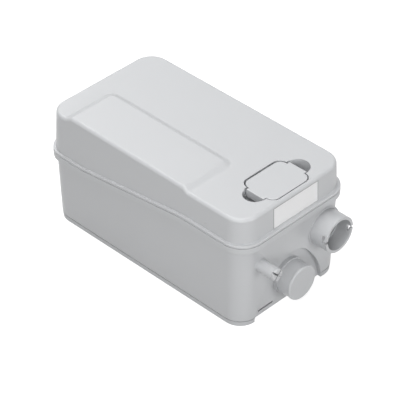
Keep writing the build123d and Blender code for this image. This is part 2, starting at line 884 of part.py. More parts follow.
with BuildPart() as non_return_flap:
    with BuildSketch(end_plane(flap_back_x, outlet_y, outlet_z)):
        Circle(flap_radius)
    extrude(amount=flap_thickness)
    with BuildSketch(Plane.XZ.offset(-outlet_y)):
        with Locations((pin_x, pin_z)):
            Circle(knuckle_radius)
        with Locations((flap_back_x + knuckle_radius / 2, pin_z - knuckle_radius)):
            Rectangle(knuckle_radius, 2 * knuckle_radius)
    extrude(amount=knuckle_width / 2, both=True)
    with BuildSketch(Plane.XZ.offset(-outlet_y)):
        with Locations((pin_x, pin_z)):
            Circle(flap_pin_radius + pin_clearance)
    extrude(amount=flap_pin_length, both=True, mode=Mode.SUBTRACT)
    with BuildSketch(Plane.XZ.offset(-outlet_y)):
        with Locations((pin_x, pin_z + knuckle_radius)):
            Rectangle(4 * knuckle_radius, 2 * knuckle_radius - 2 * flap_gap)
    extrude(amount=flap_pin_length, both=True, mode=Mode.SUBTRACT)
non_return_flap.part.label = "non_return_flap"

# Slotted plug in the small spigot
with BuildPart() as small_plug:
    with BuildSketch(end_plane(small_end_x, small_y, small_z)):
        Circle(small_plug_radius)
    extrude(amount=small_plug_head)
    fillet(small_plug.faces().sort_by(Axis.X)[-1].edges(), small_plug_edge)
    with BuildSketch(end_plane(small_end_x, small_y, small_z)):
        Circle(small_bore_radius - small_plug_gap)
    extrude(amount=-small_plug_stem)
    with BuildSketch(end_plane(small_end_x + small_plug_head, small_y, small_z)):
        Rectangle(3 * small_radius, small_slot_width, rotation=45)
        Rectangle(3 * small_radius, small_slot_width, rotation=-45)
    extrude(amount=-small_slot_depth, mode=Mode.SUBTRACT)
small_plug.part.label = "small_plug"

# Deck that carries the motor and the electrical parts
motor_screw_points = circle_points(motor_screw_circle, 4, 45.0)
saddle_screw_points = [
    (capacitor_x, capacitor_y + side * (saddle_width / 2 - screw_head_radius - saddle_edge))
    for side in (-1, 1)
]

with BuildPart() as support_deck:
    with BuildSketch(Plane.XY.offset(deck_level)):
        RectangleRounded(*tank_plan(deck_level, wall + deck_gap))
        with Locations((deck_front + reach / 2, 0)):
            Rectangle(reach, reach, mode=Mode.SUBTRACT)
    extrude(amount=deck_thickness)
    with BuildSketch(Plane.XY.offset(deck_top)):
        with Locations((deck_front - deck_rim_wall / 2, 0)):
            Rectangle(deck_rim_wall, tank_plan(deck_level, wall + deck_gap)[1])
    extrude(amount=deck_rim_height)
    with BuildSketch(Plane.XY.offset(deck_level)):
        with Locations((pump_x, pump_y)):
            with Locations(*motor_screw_points):
                Circle(boss_radius)
        with Locations(*saddle_screw_points):
            Circle(boss_radius)
    extrude(amount=-boss_depth)
    with BuildSketch(pump_plane(deck_top)):
        Circle(housing_radius + deck_hole_clearance)
    extrude(amount=-2 * boss_depth, mode=Mode.SUBTRACT)
    with BuildSketch(pump_plane(deck_top)):
        with Locations(*motor_screw_points):
            Circle(screw_radius)
    extrude(amount=-2 * boss_depth, mode=Mode.SUBTRACT)
    with BuildSketch(Plane.XY.offset(deck_top)):
        with Locations(*saddle_screw_points):
            Circle(screw_radius)
    extrude(amount=-2 * boss_depth, mode=Mode.SUBTRACT)
    with BuildSketch(Plane.XY.offset(deck_top)):
        with Locations(*post_points):
            Circle(screw_radius + screw_hole_clearance)
        with Locations((switch_x, switch_y)):
            Circle(dip_radius + dip_hole_clearance)
    extrude(amount=-deck_thickness, mode=Mode.SUBTRACT)
support_deck.part.label = "support_deck"

deck_screws = slotted_screws(
    Plane.XY.offset(deck_top),
    post_points,
    deck_thickness + deck_screw_length - screw_tip_gap,
)
deck_screws.part.label = "deck_screws"

# Rubber ring between deck and motor flange
with BuildPart() as motor_damper:
    with BuildSketch(pump_plane(deck_top)):
        Circle(motor_flange_radius)
        Circle(housing_radius + deck_hole_clearance, mode=Mode.SUBTRACT)
        with Locations(*motor_screw_points):
            Circle(screw_radius + screw_hole_clearance, mode=Mode.SUBTRACT)
    extrude(amount=damper_height)
motor_damper.part.label = "motor_damper"

# Motor housing: a deep cup with a flange, a seal and a bearing in its floor
cover_screw_points = circle_points(cover_screw_circle, 4, 45.0)
casing_screw_points = circle_points(casing_screw_circle, 4)
lower_bearing_top = lower_bearing_bottom + bearing_length
boss_top = housing_bottom + housing_floor + bearing_boss_height

with BuildPart() as motor_housing:
    with BuildSketch(pump_plane(housing_bottom)):
        Circle(housing_radius)
    extrude(amount=housing_top - housing_bottom)
    with BuildSketch(pump_plane(motor_flange_bottom)):
        Circle(motor_flange_radius)
        with Locations(*motor_screw_points):
            Circle(screw_radius + screw_hole_clearance, mode=Mode.SUBTRACT)
    extrude(amount=motor_flange_thickness)
    with BuildSketch(pump_plane(housing_bottom + housing_floor)):
        Circle(housing_bore)
    extrude(amount=reach, mode=Mode.SUBTRACT)
    with BuildSketch(pump_plane(housing_bottom + housing_floor)):
        Circle(bearing_boss_radius)
    extrude(amount=bearing_boss_height)
    with BuildSketch(pump_plane(housing_top)):
        with Locations(*cover_screw_points):
            Circle(cover_lug_radius)
    extrude(amount=-cover_lug_depth)
    with BuildSketch(pump_plane(housing_top)):
        with Locations(*cover_screw_points):
            Circle(screw_radius)
    extrude(amount=-cover_lug_depth, mode=Mode.SUBTRACT)
    with BuildSketch(pump_plane(housing_bottom)):
        Circle(bearing_radius)
    extrude(amount=lower_bearing_top - housing_bottom, mode=Mode.SUBTRACT)
    with BuildSketch(pump_plane(housing_bottom)):
        Circle((shaft_radius + bearing_radius) / 2)
    extrude(amount=boss_top - housing_bottom, mode=Mode.SUBTRACT)
    with BuildSketch(pump_plane(housing_bottom)):
        with Locations(*casing_screw_points):
            Circle(screw_radius)
    extrude(amount=casing_hole_depth, mode=Mode.SUBTRACT)
    with BuildSketch(pump_plane(housing_bottom)):
        Circle(casing_seal_radius + casing_seal_section + seal_side_gap)
        Circle(casing_seal_radius - casing_seal_section - seal_side_gap, mode=Mode.SUBTRACT)
    extrude(amount=2 * casing_seal_section, mode=Mode.SUBTRACT)
motor_housing.part.label = "motor_housing"

motor_screws = slotted_screws(
    pump_plane(motor_flange_top),
    motor_screw_points,
    motor_flange_thickness + damper_height + deck_thickness + boss_depth - screw_tip_gap,
)
motor_screws.part.label = "motor_screws"

# Motor cover with the upper bearing pocket
with BuildPart() as motor_cover:
    with BuildSketch(pump_plane(housing_top)):
        Circle(housing_radius)
    extrude(amount=motor_cover_thickness)
    with BuildSketch(pump_plane(housing_top)):
        Circle(bearing_boss_radius)
    extrude(amount=-motor_cover_boss)
    with BuildSketch(pump_plane(upper_bearing_top)):
        Circle(bearing_radius)
    extrude(amount=-reach, mode=Mode.SUBTRACT)
    with BuildSketch(pump_plane(housing_top)):
        with Locations(*cover_screw_points):
            Circle(screw_radius + screw_hole_clearance)
    extrude(amount=motor_cover_thickness, mode=Mode.SUBTRACT)
    fillet(
        motor_cover.edges().group_by(Axis.Z)[-1].sort_by(SortBy.LENGTH)[-1],
        motor_cover_edge_radius,
    )
motor_cover.part.label = "motor_cover"

cover_screws = slotted_screws(
    pump_plane(housing_top + motor_cover_thickness),
    cover_screw_points,
    motor_cover_thickness + cover_lug_depth - screw_tip_gap,
)
cover_screws.part.label = "cover_screws"

# Bearings and shaft seal
with BuildPart() as lower_bearing:
    with BuildSketch(pump_plane(lower_bearing_bottom)):
        Circle(bearing_radius)
        Circle(shaft_radius + bearing_clearance, mode=Mode.SUBTRACT)
    extrude(amount=bearing_length)
lower_bearing.part.label = "lower_bearing"

with BuildPart() as upper_bearing:
    with BuildSketch(pump_plane(upper_bearing_bottom)):
        Circle(bearing_radius)
        Circle(shaft_radius + bearing_clearance, mode=Mode.SUBTRACT)
    extrude(amount=bearing_length)
upper_bearing.part.label = "upper_bearing"

with BuildPart() as shaft_seal:
    with BuildSketch(pump_plane(seal_bottom)):
        Circle(bearing_radius)
        Circle(shaft_radius + lip_seal_clearance, mode=Mode.SUBTRACT)
    extrude(amount=seal_length)
shaft_seal.part.label = "shaft_seal"

# Stator: slotted lamination stack with one winding through all its slots
slot_middle = (slot_inner_radius + slot_outer_radius) / 2
slot_depth = slot_outer_radius - slot_inner_radius

with BuildPart() as stator_core:
    with BuildSketch(pump_plane(stator_bottom)):
        Circle(housing_bore)
        Circle(stator_bore_radius, mode=Mode.SUBTRACT)
        with PolarLocations(slot_middle, stator_slots):
            Rectangle(slot_depth, slot_width, mode=Mode.SUBTRACT)
        with PolarLocations(slot_inner_radius, stator_slots):
            Rectangle(2 * (slot_inner_radius - rotor_radius), slot_mouth, mode=Mode.SUBTRACT)
    extrude(amount=stator_height)
stator_core.part.label = "stator_core"

with BuildPart() as stator_windings:
    with BuildSketch(pump_plane(stator_bottom)):
        with PolarLocations(slot_middle, stator_slots):
            Rectangle(slot_depth - 2 * coil_gap, slot_width - 2 * coil_gap)
    extrude(amount=stator_height)
    for start, height in ((stator_top, coil_head_height), (stator_bottom, -coil_head_height)):
        with BuildSketch(pump_plane(start)):
            Circle(slot_outer_radius - coil_gap)
            Circle(slot_inner_radius + coil_gap, mode=Mode.SUBTRACT)
        extrude(amount=height)
stator_windings.part.label = "stator_windings"

# Rotor stack with its end rings, and the shaft through it
with BuildPart() as rotor:
    with BuildSketch(pump_plane(stator_bottom)):
        Circle(rotor_radius)
    extrude(amount=stator_height)
    for start, height in ((stator_top, rotor_ring_height), (stator_bottom, -rotor_ring_height)):
        with BuildSketch(pump_plane(start)):
            Circle(rotor_ring_radius)
            Circle(rotor_ring_bore, mode=Mode.SUBTRACT)
        extrude(amount=height)
    with BuildSketch(pump_plane(stator_bottom)):
        Circle(shaft_radius)
    extrude(amount=stator_height, mode=Mode.SUBTRACT)
rotor.part.label = "rotor"

shaft_top = upper_bearing_top - shaft_end_gap

with BuildPart() as shaft:
    with BuildSketch(pump_plane(shaft_bottom)):
        Circle(shaft_radius)
    extrude(amount=shaft_top - shaft_bottom)
    chamfer(shaft.edges().filter_by(GeomType.CIRCLE), shaft_chamfer)
shaft.part.label = "shaft"

# Pump casing: eccentric chamber, suction eye, tangential outlet duct
with BuildPart() as pump_casing:
    with BuildSketch(pump_plane(casing_bottom)):
        with Locations((0, chamber_shift)):
            Circle(chamber_radius + casing_wall)
    extrude(amount=housing_bottom - casing_bottom)
    with BuildSketch(pump_plane(chamber_top)):
        Circle(housing_radius)
    extrude(amount=casing_flange)
    with BuildSketch(end_plane(pump_x, duct_y, duct_z)):
        Circle(stub_radius)
    extrude(amount=duct_end_x - pump_x)
    with BuildSketch(pump_plane(casing_bottom)):
        Circle(neck_radius)
        Circle(eye_radius, mode=Mode.SUBTRACT)
    extrude(amount=-neck_height)
    with BuildSketch(pump_plane(chamber_bottom)):
        with Locations((0, chamber_shift)):
            Circle(chamber_radius)
    extrude(amount=reach, mode=Mode.SUBTRACT)
    with BuildSketch(end_plane(pump_x, duct_y, duct_z)):
        Circle(duct_bore_radius)
    extrude(amount=duct_end_x - pump_x, mode=Mode.SUBTRACT)
    with BuildSketch(pump_plane(casing_bottom)):
        Circle(eye_radius)
    extrude(amount=casing_floor, mode=Mode.SUBTRACT)
    with BuildSketch(pump_plane(chamber_top)):
        with Locations(*casing_screw_points):
            Circle(screw_radius + screw_hole_clearance)
    extrude(amount=casing_flange, mode=Mode.SUBTRACT)
pump_casing.part.label = "pump_casing"

with BuildPart() as casing_seal:
    with BuildSketch(Plane(origin=(pump_x, pump_y, housing_bottom), x_dir=(1, 0, 0), z_dir=(0, -1, 0))):
        with Locations((casing_seal_radius, casing_seal_section)):
            Circle(casing_seal_section)
    revolve(axis=Axis((pump_x, pump_y, 0), (0, 0, 1)))
casing_seal.part.label = "casing_seal"

casing_screws = slotted_screws(
    Plane(origin=(pump_x, pump_y, chamber_top), x_dir=(1, 0, 0), z_dir=(0, 0, -1)),
    casing_screw_points,
    casing_flange + casing_hole_depth - screw_tip_gap,
)
casing_screws.part.label = "casing_screws"

# Impeller: open, with swept blades under a back disc
blade_arc = CenterArc(
    (0, -blade_bend_radius),
    blade_bend_radius,
    90 - blade_sweep / 2,
    blade_sweep,
)

with BuildPart() as impeller:
    with BuildSketch(pump_plane(impeller_top - shroud_thickness)):
        Circle(impeller_radius)
    extrude(amount=shroud_thickness)
    with BuildSketch(pump_plane(blade_bottom)):
        with PolarLocations(hub_radius + blade_offset, blade_count):
            SlotArc(blade_arc, blade_thickness)
    extrude(amount=blade_height + shroud_thickness / 2)
    with BuildSketch(pump_plane(nut_bottom + nut_height)):
        Circle(hub_radius)
    extrude(amount=impeller_top - nut_bottom - nut_height + shroud_thickness)
    with BuildSketch(pump_plane(nut_bottom)):
        Circle(shaft_radius)
    extrude(amount=reach, mode=Mode.SUBTRACT)
impeller.part.label = "impeller"

with BuildPart() as impeller_nut:
    with BuildSketch(pump_plane(nut_bottom)):
        RegularPolygon(nut_across / 2, 6, major_radius=False)
        Circle(shaft_radius, mode=Mode.SUBTRACT)
    extrude(amount=nut_height)
impeller_nut.part.label = "impeller_nut"

# Suction strainer round the neck of the casing
strainer_bottom = casing_bottom - strainer_height

with BuildPart() as suction_strainer:
    with BuildSketch(pump_plane(strainer_bottom)):
        Circle(strainer_radius)
    extrude(amount=strainer_height)
    with BuildSketch(pump_plane(strainer_bottom + strainer_floor)):
        Circle(neck_radius + neck_gap)
    extrude(amount=strainer_height, mode=Mode.SUBTRACT)
    with BuildSketch(pump_plane(strainer_bottom)):
        with PolarLocations(strainer_radius, strainer_slots):
            Rectangle(4 * strainer_wall, strainer_slot_width)
    extrude(amount=strainer_height - neck_height - strainer_rim, mode=Mode.SUBTRACT)
    with BuildSketch(pump_plane(strainer_bottom)):
        with PolarLocations(strainer_hole_circle, strainer_holes):
            Circle(strainer_hole_radius)
    extrude(amount=strainer_floor, mode=Mode.SUBTRACT)
suction_strainer.part.label = "suction_strainer"

# Discharge hose from the pump casing to the spigot
hose_end_x = stub_back_x - hose_end_gap
hose_points = [
    (hose_start_x, duct_y, duct_z),
    (hose_start_x + hose_run, duct_y, duct_z),
    (hose_end_x - hose_lead, outlet_y, outlet_z),
    (hose_end_x, outlet_y, outlet_z),
]

with BuildPart() as discharge_hose:
    with BuildLine():
        FilletPolyline(*hose_points, radius=hose_bend_radius)
    with BuildSketch(end_plane(*hose_points[0])):
        Circle(hose_bore + hose_wall)
        Circle(hose_bore, mode=Mode.SUBTRACT)
    sweep()
discharge_hose.part.label = "discharge_hose"

with BuildPart() as hose_clips:
    for clip_x, clip_y, clip_z in (
        (hose_start_x + clip_inset, duct_y, duct_z),
        (hose_end_x - clip_inset - clip_width, outlet_y, outlet_z),
    ):
        with BuildSketch(end_plane(clip_x, clip_y, clip_z)):
            Circle(hose_bore + hose_wall + clip_band)
            with Locations((0, hose_bore + hose_wall + clip_band + clip_lug / 2 - clip_lug_sink)):
                Rectangle(2 * clip_lug, clip_lug)
            Circle(hose_bore + hose_wall, mode=Mode.SUBTRACT)
        extrude(amount=clip_width)
hose_clips.part.label = "hose_clips"

# Dip tube, pressure switch, diaphragm, plunger and microswitch
switch_bottom = deck_top + dip_flange_height
diaphragm_bottom = switch_bottom + switch_base_height - diaphragm_thickness
cap_bottom = switch_bottom + switch_base_height
cap_top = cap_bottom + switch_cap_height
plunger_bottom = cap_bottom + flap_gap
plunger_top = cap_top + plunger_proud
microswitch_bottom = plunger_top + plunger_travel + stop_clearance


def switch_plane(height):
    """Level plane centred on the pressure switch."""
    return Plane(origin=(switch_x, switch_y, height))


with BuildPart() as dip_tube:
    with BuildSketch(switch_plane(dip_bottom)):
        Circle(dip_radius)
    extrude(amount=switch_bottom - dip_bottom)
    with BuildSketch(switch_plane(deck_top)):
        Circle(dip_flange_radius)
    extrude(amount=dip_flange_height)
    with BuildSketch(switch_plane(dip_bottom)):
        Circle(dip_radius - dip_wall)
    extrude(amount=reach, mode=Mode.SUBTRACT)
dip_tube.part.label = "dip_tube"

with BuildPart() as switch_base:
    with BuildSketch(switch_plane(switch_bottom)):
        Circle(switch_radius)
    extrude(amount=switch_base_height)
    with BuildSketch(switch_plane(cap_bottom)):
        Circle(diaphragm_radius)
    extrude(amount=-diaphragm_thickness, mode=Mode.SUBTRACT)
    with BuildSketch(switch_plane(diaphragm_bottom)):
        Circle(switch_bowl_radius)
    extrude(amount=-bowl_depth, mode=Mode.SUBTRACT)
    with BuildSketch(switch_plane(switch_bottom)):
        Circle(dip_radius - dip_wall)
    extrude(amount=switch_base_height, mode=Mode.SUBTRACT)
switch_base.part.label = "switch_base"

with BuildPart() as switch_diaphragm:
    with BuildSketch(switch_plane(diaphragm_bottom)):
        Circle(diaphragm_radius)
    extrude(amount=diaphragm_thickness)
switch_diaphragm.part.label = "switch_diaphragm"

with BuildPart() as switch_cap:
    with BuildSketch(switch_plane(cap_bottom)):
        Circle(switch_radius)
    extrude(amount=switch_cap_height)
    with BuildSketch(switch_plane(cap_bottom)):
        Circle(switch_bowl_radius)
    extrude(amount=bowl_depth, mode=Mode.SUBTRACT)
    with BuildSketch(switch_plane(cap_bottom)):
        Circle(plunger_radius + plunger_clearance)
    extrude(amount=switch_cap_height, mode=Mode.SUBTRACT)
switch_cap.part.label = "switch_cap"

with BuildPart() as switch_plunger:
    with BuildSketch(switch_plane(plunger_bottom)):
        Circle(plunger_foot_radius)
    extrude(amount=plunger_foot)
    with BuildSketch(switch_plane(plunger_bottom)):
        Circle(plunger_radius)
    extrude(amount=plunger_top - plunger_bottom)
switch_plunger.part.label = "switch_plunger"

with BuildPart() as microswitch:
    with BuildSketch(switch_plane(microswitch_bottom)):
        Rectangle(microswitch_length, microswitch_width)
    extrude(amount=microswitch_height)
    with BuildSketch(switch_plane(microswitch_bottom)):
        with GridLocations(microswitch_length - microswitch_leg, 0, 2, 1):
            Rectangle(microswitch_leg, microswitch_width)
    extrude(amount=cap_top - microswitch_bottom)
    with BuildSketch(switch_plane(microswitch_bottom + microswitch_height)):
        with GridLocations(tag_spread, 0, 3, 1):
            Rectangle(tag_thickness, tag_width)
    extrude(amount=tag_length)
microswitch.part.label = "microswitch"

# Run capacitor in its saddle
capacitor_z = deck_top + capacitor_lift + capacitor_radius
capacitor_start = capacitor_x - capacitor_length / 2
saddle_start = capacitor_x - saddle_length / 2
strap_radius = capacitor_radius + capacitor_gap

with BuildPart() as run_capacitor:
    with BuildSketch(end_plane(capacitor_start, capacitor_y, capacitor_z)):
        Circle(capacitor_radius)
    extrude(amount=capacitor_length)
    fillet(run_capacitor.edges().filter_by(GeomType.CIRCLE), can_edge_radius)
    with BuildSketch(end_plane(capacitor_start + capacitor_length, capacitor_y, capacitor_z)):
        with GridLocations(2 * tag_spread, 0, 2, 1):
            Rectangle(tag_thickness, tag_width)
    extrude(amount=tag_length)
run_capacitor.part.label = "run_capacitor"

with BuildPart() as capacitor_saddle:
    with BuildSketch(end_plane(saddle_start, capacitor_y, deck_top)):
        Rectangle(saddle_width, capacitor_lift, align=(Align.CENTER, Align.MIN))
        Rectangle(2 * strap_radius, saddle_height, align=(Align.CENTER, Align.MIN))
        with Locations((0, capacitor_lift + capacitor_radius)):
            Circle(strap_radius + strap_thickness)
            Circle(strap_radius, mode=Mode.SUBTRACT)
    extrude(amount=saddle_length)
    with BuildSketch(Plane.XY.offset(deck_top)):
        with Locations(*saddle_screw_points):
            Circle(screw_radius + screw_hole_clearance)
    extrude(amount=capacitor_lift, mode=Mode.SUBTRACT)
capacitor_saddle.part.label = "capacitor_saddle"

saddle_screws = slotted_screws(
    Plane.XY.offset(deck_top + capacitor_lift),
    saddle_screw_points,
    capacitor_lift + deck_thickness + boss_depth - screw_tip_gap,
)
saddle_screws.part.label = "saddle_screws"

# Terminal block with its clamp screws
terminal_points = [
    (terminal_x, terminal_y + (pole - (terminal_poles - 1) / 2) * terminal_pitch)
    for pole in range(terminal_poles)
]

with BuildPart() as terminal_block:
    with BuildSketch(Plane(origin=(terminal_x, terminal_y, deck_top))):
        Rectangle(terminal_length, terminal_width)
    extrude(amount=terminal_height)
    with BuildSketch(end_plane(terminal_x, terminal_y, deck_top + terminal_height / 2)):
        with GridLocations(terminal_pitch, 0, terminal_poles, 1):
            Circle(terminal_bore)
    extrude(amount=terminal_length, both=True, mode=Mode.SUBTRACT)
    with BuildSketch(Plane.XY.offset(deck_top + terminal_height)):
        with Locations(*terminal_points):
            Circle(terminal_screw_radius)
    extrude(amount=-terminal_height / 2, mode=Mode.SUBTRACT)
terminal_block.part.label = "terminal_block"

with BuildPart() as terminal_screws:
    with BuildSketch(Plane.XY.offset(deck_top + terminal_height - terminal_screw_sink)):
        with Locations(*terminal_points):
            Circle(terminal_screw_radius)
    extrude(amount=-terminal_screw_length)
terminal_screws.part.label = "terminal_screws"

# Cable gland, its nut and its seal in the back wall of the lid
gland_wall_x = -lid_length / 2 - (lid_top - gland_z) * tan(radians(lid_draft))
gland_lean = gland_flange_radius * tan(radians(lid_draft))
gland_out_x = gland_wall_x - gland_lean


def gland_plane(x):
    """Plane facing the back of the lid, centred on the cable gland."""
    return Plane(origin=(x, gland_y, gland_z), x_dir=(0, 1, 0), z_dir=(-1, 0, 0))


with BuildPart() as cable_gland:
    with BuildSketch(gland_plane(gland_out_x)):
        Circle(gland_flange_radius)
    extrude(amount=gland_flange_height)
    fillet(cable_gland.faces().sort_by(Axis.X)[0].edges(), gland_edge_radius)
    with BuildSketch(gland_plane(gland_out_x)):
        Circle(gland_radius)
    extrude(amount=-gland_reach)
    with BuildSketch(gland_plane(gland_out_x)):
        Circle(gland_bore_radius)
    extrude(amount=reach, both=True, mode=Mode.SUBTRACT)
cable_gland.part.label = "cable_gland"

with BuildPart() as gland_seal:
    with BuildSketch(gland_plane(gland_out_x)):
        Circle(gland_bore_radius)
        Circle(gland_seal_bore_radius, mode=Mode.SUBTRACT)
    extrude(amount=-gland_seal_length)
gland_seal.part.label = "gland_seal"

with BuildPart() as gland_nut:
    with BuildSketch(gland_plane(gland_wall_x + wall + gland_lean + gland_nut_height)):
        RegularPolygon(gland_nut_across / 2, 6, major_radius=False)
        Circle(gland_radius, mode=Mode.SUBTRACT)
    extrude(amount=gland_nut_height)
gland_nut.part.label = "gland_nut"

pieces = (
    tank,
    lid_gasket,
    lid,
    rating_label,
    filter_cover,
    carbon_filter,
    inlet_plug,
    inlet_plug_seal,
    valve_sleeve,
    flap_pin,
    non_return_flap,
    small_plug,
    support_deck,
    deck_screws,
    motor_damper,
    motor_housing,
    motor_screws,
    motor_cover,
    cover_screws,
    lower_bearing,
    upper_bearing,
    shaft_seal,
    stator_core,
    stator_windings,
    rotor,
    shaft,
    pump_casing,
    casing_seal,
    casing_screws,
    impeller,
    impeller_nut,
    suction_strainer,
    discharge_hose,
    hose_clips,
    dip_tube,
    switch_base,
    switch_diaphragm,
    switch_cap,
    switch_plunger,
    microswitch,
    run_capacitor,
    capacitor_saddle,
    saddle_screws,
    terminal_block,
    terminal_screws,
    cable_gland,
    gland_seal,
    gland_nut,
)

os.makedirs("parts", exist_ok=True)
for piece in pieces:
    export_step(piece.part, f"parts/{piece.part.label}.step")
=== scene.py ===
import json
from math import acos, atan2, cos, degrees, hypot, pi, radians, sin, tan

import bmesh
import bpy
from mathutils import Matrix, Vector


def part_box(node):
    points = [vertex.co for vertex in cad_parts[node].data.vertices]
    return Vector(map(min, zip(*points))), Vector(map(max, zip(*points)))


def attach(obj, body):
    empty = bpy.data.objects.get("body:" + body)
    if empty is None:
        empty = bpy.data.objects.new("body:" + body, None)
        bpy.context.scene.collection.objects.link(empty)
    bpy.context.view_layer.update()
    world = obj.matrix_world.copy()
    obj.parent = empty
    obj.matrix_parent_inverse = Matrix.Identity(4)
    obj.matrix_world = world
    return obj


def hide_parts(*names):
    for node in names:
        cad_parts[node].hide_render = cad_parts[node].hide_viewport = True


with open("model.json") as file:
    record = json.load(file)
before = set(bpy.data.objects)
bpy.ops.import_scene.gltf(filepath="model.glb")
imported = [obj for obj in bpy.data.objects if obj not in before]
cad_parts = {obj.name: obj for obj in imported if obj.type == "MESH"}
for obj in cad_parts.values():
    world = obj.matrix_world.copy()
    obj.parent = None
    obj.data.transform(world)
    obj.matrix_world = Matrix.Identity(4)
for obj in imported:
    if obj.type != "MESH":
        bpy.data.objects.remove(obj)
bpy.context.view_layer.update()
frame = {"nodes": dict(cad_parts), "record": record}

# Sizes are in millimetres, in the frame of the solids: the origin is the middle
# of the base on the floor, +X is the end with the pipe connections.
MM = 0.001
FAR_X, FAR_Y, FAR_UP = 200.0, 120.0, 190.0  # well past the part on every side

# Tank walls
BASE_LENGTH, BASE_WIDTH = 286.0, 152.7
END_DRAFT, SIDE_DRAFT = 1.2, 1.7
CORNER = 21.6
WALL = 2.5
FLOOR_LOW, FLOOR_TOP = 7.0, 9.5
FOOT_BAND, FOOT_INSET, FOOT_GROOVE = 6.0, 0.7, 0.8
FOOT_RADIUS = 14.0

# Seam between tank and lid, and the flanges on both sides of it
SEAM_LOW, SEAM_HIGH = 90.5, 109.2
CLIMB_START, CLIMB_END = -89.0, 60.0
SEAM_GAP = 0.5
FLANGE_LENGTH, FLANGE_WIDTH, FLANGE_CORNER = 299.6, 164.6, 26.1
LID_BAND, TANK_BAND = 3.5, 7.2
OVERLAP = 1.2  # how far the flange bands reach into the walls
HAIR = 0.02  # a step too small to see, which keeps level faces apart where two shapes are joined

# Lid
LID_LENGTH, LID_WIDTH, LID_CORNER = 288.8, 156.6, 23.5
LID_TOP = 143.2
LID_DRAFT = 2.0
LIP_DEPTH, LIP_WALL, LIP_GAP = 5.0, 2.0, 0.6
DIMPLE = (94.0, -79.2, 119.0)

# Raised panel
PANEL_BACK, PANEL_FRONT, PANEL_INNER = -118.0, 67.3, -8.0
PANEL_RAMP = 6.0
BACK_RAMP_EXTRA, INNER_RAMP_EXTRA = 4.0, 2.0
PANEL_RISE_BACK, PANEL_RISE_FRONT = 5.0, 4.0
PANEL_CORNER = 12.0

# Filter cover and the finger wells
COVER_X, COVER_Y = 117.6, 1.5
COVER_LENGTH, COVER_WIDTH, COVER_CORNER = 43.7, 57.4, 9.0
ARM_LENGTH, ARM_WIDTH = 24.0, 65.4
COVER_SKIRT = 9.0
COVER_GAP = 1.3
WELL_RADIUS, WELL_OFFSET, WELL_DEPTH = 12.75, 33.1, 14.0
POCKET_WALL = 2.0
GRILLE_SLOTS, GRILLE_PITCH = 5, 6.4
GRILLE_WIDTH, GRILLE_LENGTH, GRILLE_CORNER = 3.2, 34.0, 1.59

# Label on the connection end of the lid; its recess is wider on the near side and above
LABEL_Y, LABEL_LOW = 2.3, 113.0
LABEL_WIDTH, LABEL_HEIGHT = 66.1, 24.8
LABEL_DEPTH, LABEL_THICKNESS = 1.2, 0.6
LABEL_GAP, LABEL_WIDE_GAP = 0.3, 1.2
# Width of the strip on the label's near side and top that is painted dark as shade
LABEL_SHADE_STRIP = 1.0

# Arched recess: a round crown between two bulging sides that stand on upright feet
ARCH_Y, ARCH_CROWN_Z, ARCH_HALF_FOOT = -3.0, 30.3, 51.6
ARCH_SIDE_RADIUS, ARCH_SIDE_Y, ARCH_SIDE_Z = 100.0, 46.6, -15.1
RECESS_X = 138.0
VENT_Y, VENT_LENGTH, VENT_LOW, VENT_HIGH = -33.5, 23.0, 5.0, 7.2
GLAND_Y, GLAND_Z, GLAND_RADIUS = 40.0, 118.0, 6.2

# Pipe connections, each with its collar on the wall
INLET_Y, INLET_Z, INLET_END = -1.0, 31.5, 157.0
INLET_RADIUS, INLET_BORE = 20.0, 17.5
INLET_COLLAR, INLET_COLLAR_X = 21.4, 142.5
OUTLET_Y, OUTLET_Z, OUTLET_END = 47.4, 72.1, 167.0
OUTLET_RADIUS, OUTLET_BORE = 21.4, 18.0
OUTLET_COLLAR, OUTLET_COLLAR_X = 23.4, 145.3
SEAT_X, SEAT_BACK_X, SEAT_RADIUS = 138.0, 134.0, 20.5
RING_START, RING_END, RING_BORE = 144.0, 148.4, 16.4
SLOT_LENGTH, SLOT_WIDTH, SLOT_REACH = 6.0, 3.0, 6.0
STUB_RADIUS, STUB_BORE, STUB_X = 11.0, 9.0, 112.0
SMALL_Y, SMALL_Z, SMALL_END = -50.0, 76.7, 166.0
SMALL_RADIUS, SMALL_BORE = 7.5, 5.2
SMALL_COLLAR, SMALL_COLLAR_X = 8.2, 145.2
SMALL_START = 142.0

# Gasket in its groove, and the other soft pieces
GASKET_INSET, GASKET_WIDTH, GASKET_DEPTH = 2.2, 3.0, 2.0
GROOVE_GAP = 0.3
FLAP_X, FLAP_RADIUS, FLAP_THICKNESS = 140.1, 12.6, 1.8
FLAP_PIN_X, FLAP_PIN_Z, FLAP_PIN_RADIUS = 141.8, 84.5, 0.8
KNUCKLE_RADIUS, KNUCKLE_WIDTH = 1.4, 8.0
SEAL_X, SEAL_RADIUS = 149.0, 0.9
HOSE_START, HOSE_END = (-2.0, 12.0, 29.5), (133.0, 47.4, 72.1)
HOSE_RADIUS, HOSE_WALL, HOSE_BEND = 14.05, 3.0, 34.0
HOSE_RUN, HOSE_LEAD = 34.0, 46.0
PUMP_X, PUMP_Y = -48.0, -12.0
DAMPER_RADIUS, DAMPER_BORE = 52.9, 46.0

# Posts for the deck
DECK_LEVEL = 80.0
POST_ROWS = (-122.0, -32.0, 56.0)
POST_Y, POST_RADIUS = 69.0, 5.5


def deselect():
    """Leaves edit mode and selects nothing."""
    if bpy.context.mode != "OBJECT":
        bpy.ops.object.mode_set(mode="OBJECT")
    bpy.ops.object.select_all(action="DESELECT")


def activate(piece):
    """Selects one piece alone."""
    deselect()
    piece.select_set(True)
    bpy.context.view_layer.objects.active = piece


def settle(piece, name):
    """Names a new piece and puts its place into its mesh."""
    activate(piece)
    bpy.ops.object.transform_apply(location=True, rotation=True, scale=True)
    piece.name = name
    piece.data.name = name
    return piece


